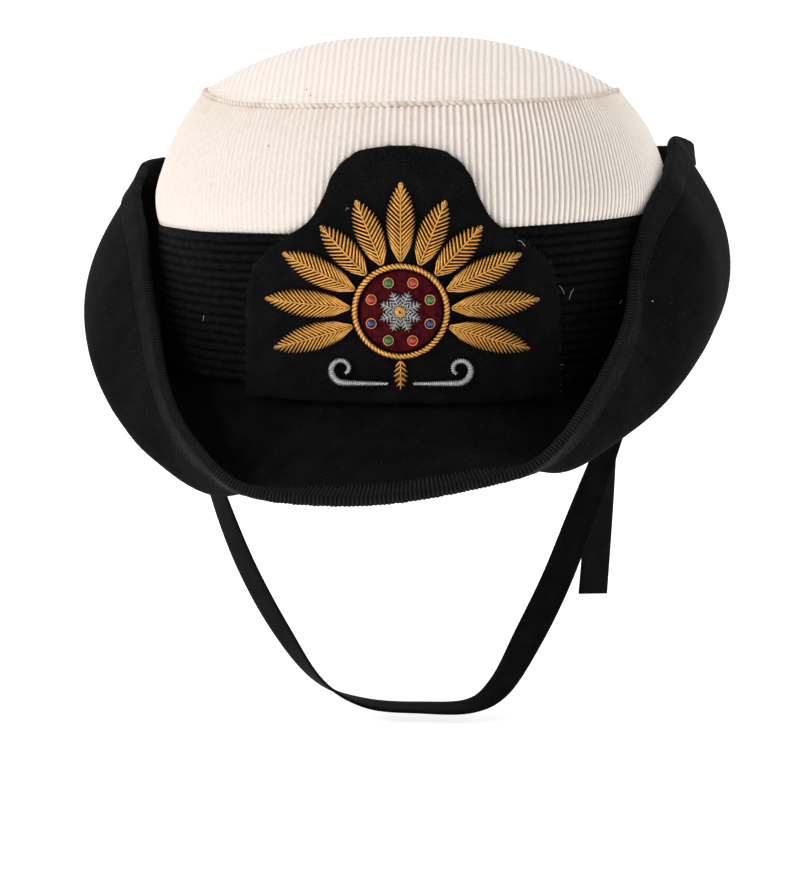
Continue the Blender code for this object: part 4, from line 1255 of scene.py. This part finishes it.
def main():
    """Makes the stage, then the hat from the brim up, its badge, its straps and its lint."""
    make_camera()
    make_lights()
    make_floor()
    felt = felt_finish("black_felt_wool", 0.003, (0.0062, 0.0055, 0.0056))
    patch = felt_finish("badge_cloth_napped", 0.004, (0.0075, 0.007, 0.0075))
    hair = cloudy_finish("black_hairs", 0.03, 0.6, 3 * MM, 0.012, 0.06, 0.4, Specular_IOR_Level=0.3)
    pale = cloudy_finish("pale_lint", 0.72, 0.9, 2 * MM, 0.35, 0.72)
    brown = (0.30, 0.22, 0.16)
    dirt = cloudy_finish("brown_dirt", brown, 0.9, 2 * MM, (0.16, 0.10, 0.07), brown)
    ribbon = ribbon_finish()
    # Copies of the white cloth, each with a groove colour that is painted shade: deep on the side panel,
    # lighter on the top, which catches more light, and on the seam, whose copy is also darker all over.
    white = white_finish("white_cloth_ribbed", (0.38, 0.335, 0.31), (0.88, 0.81, 0.745), (0.96, 0.90, 0.85))
    white_top = white_finish("white_cloth_top", (0.66, 0.60, 0.555), (0.88, 0.81, 0.75), (0.97, 0.93, 0.89))
    seam = white_finish("white_cloth_seam", (0.46, 0.39, 0.33), (0.80, 0.73, 0.665), (0.80, 0.74, 0.68))
    # Each wire finish's second colour is painted shade.
    gold = wire_finish("gold_wire", (0.76, 0.40, 0.10), (0.10, 0.035, 0.004), 0.27)
    silver = wire_finish("silver_wire", (0.55, 0.54, 0.53), 0.10, 0.28)
    beads = []
    for slot, colour in (("bead_red", (0.42, 0.01, 0.01)), ("bead_green", (0.01, 0.14, 0.03)),
                         ("bead_blue", (0.01, 0.015, 0.14))):
        dark = tuple(0.6 * part for part in colour)
        beads.append((slot, cloudy_finish(f"{slot}_glass", colour, 0.12, 0.9 * MM, dark, colour,
                                          Coat_Weight=0.5, Coat_Roughness=0.05)))

    make_brim(felt, hair)
    make_binding(ribbon)
    make_binding_stitches(ribbon)
    make_crown_side(white)
    make_crown_seam(seam)
    make_crown_tip(white_top)
    make_band(braid_finish(), hair)
    make_patch(patch, hair)
    make_velvet(velvet_finish())
    make_rim(gold)
    make_rosette(silver, gold)
    make_beads(beads, gold)
    make_leaves(gold)
    make_scrolls(silver)
    make_straps(tape_finish())
    make_lint(pale, dirt)


main()
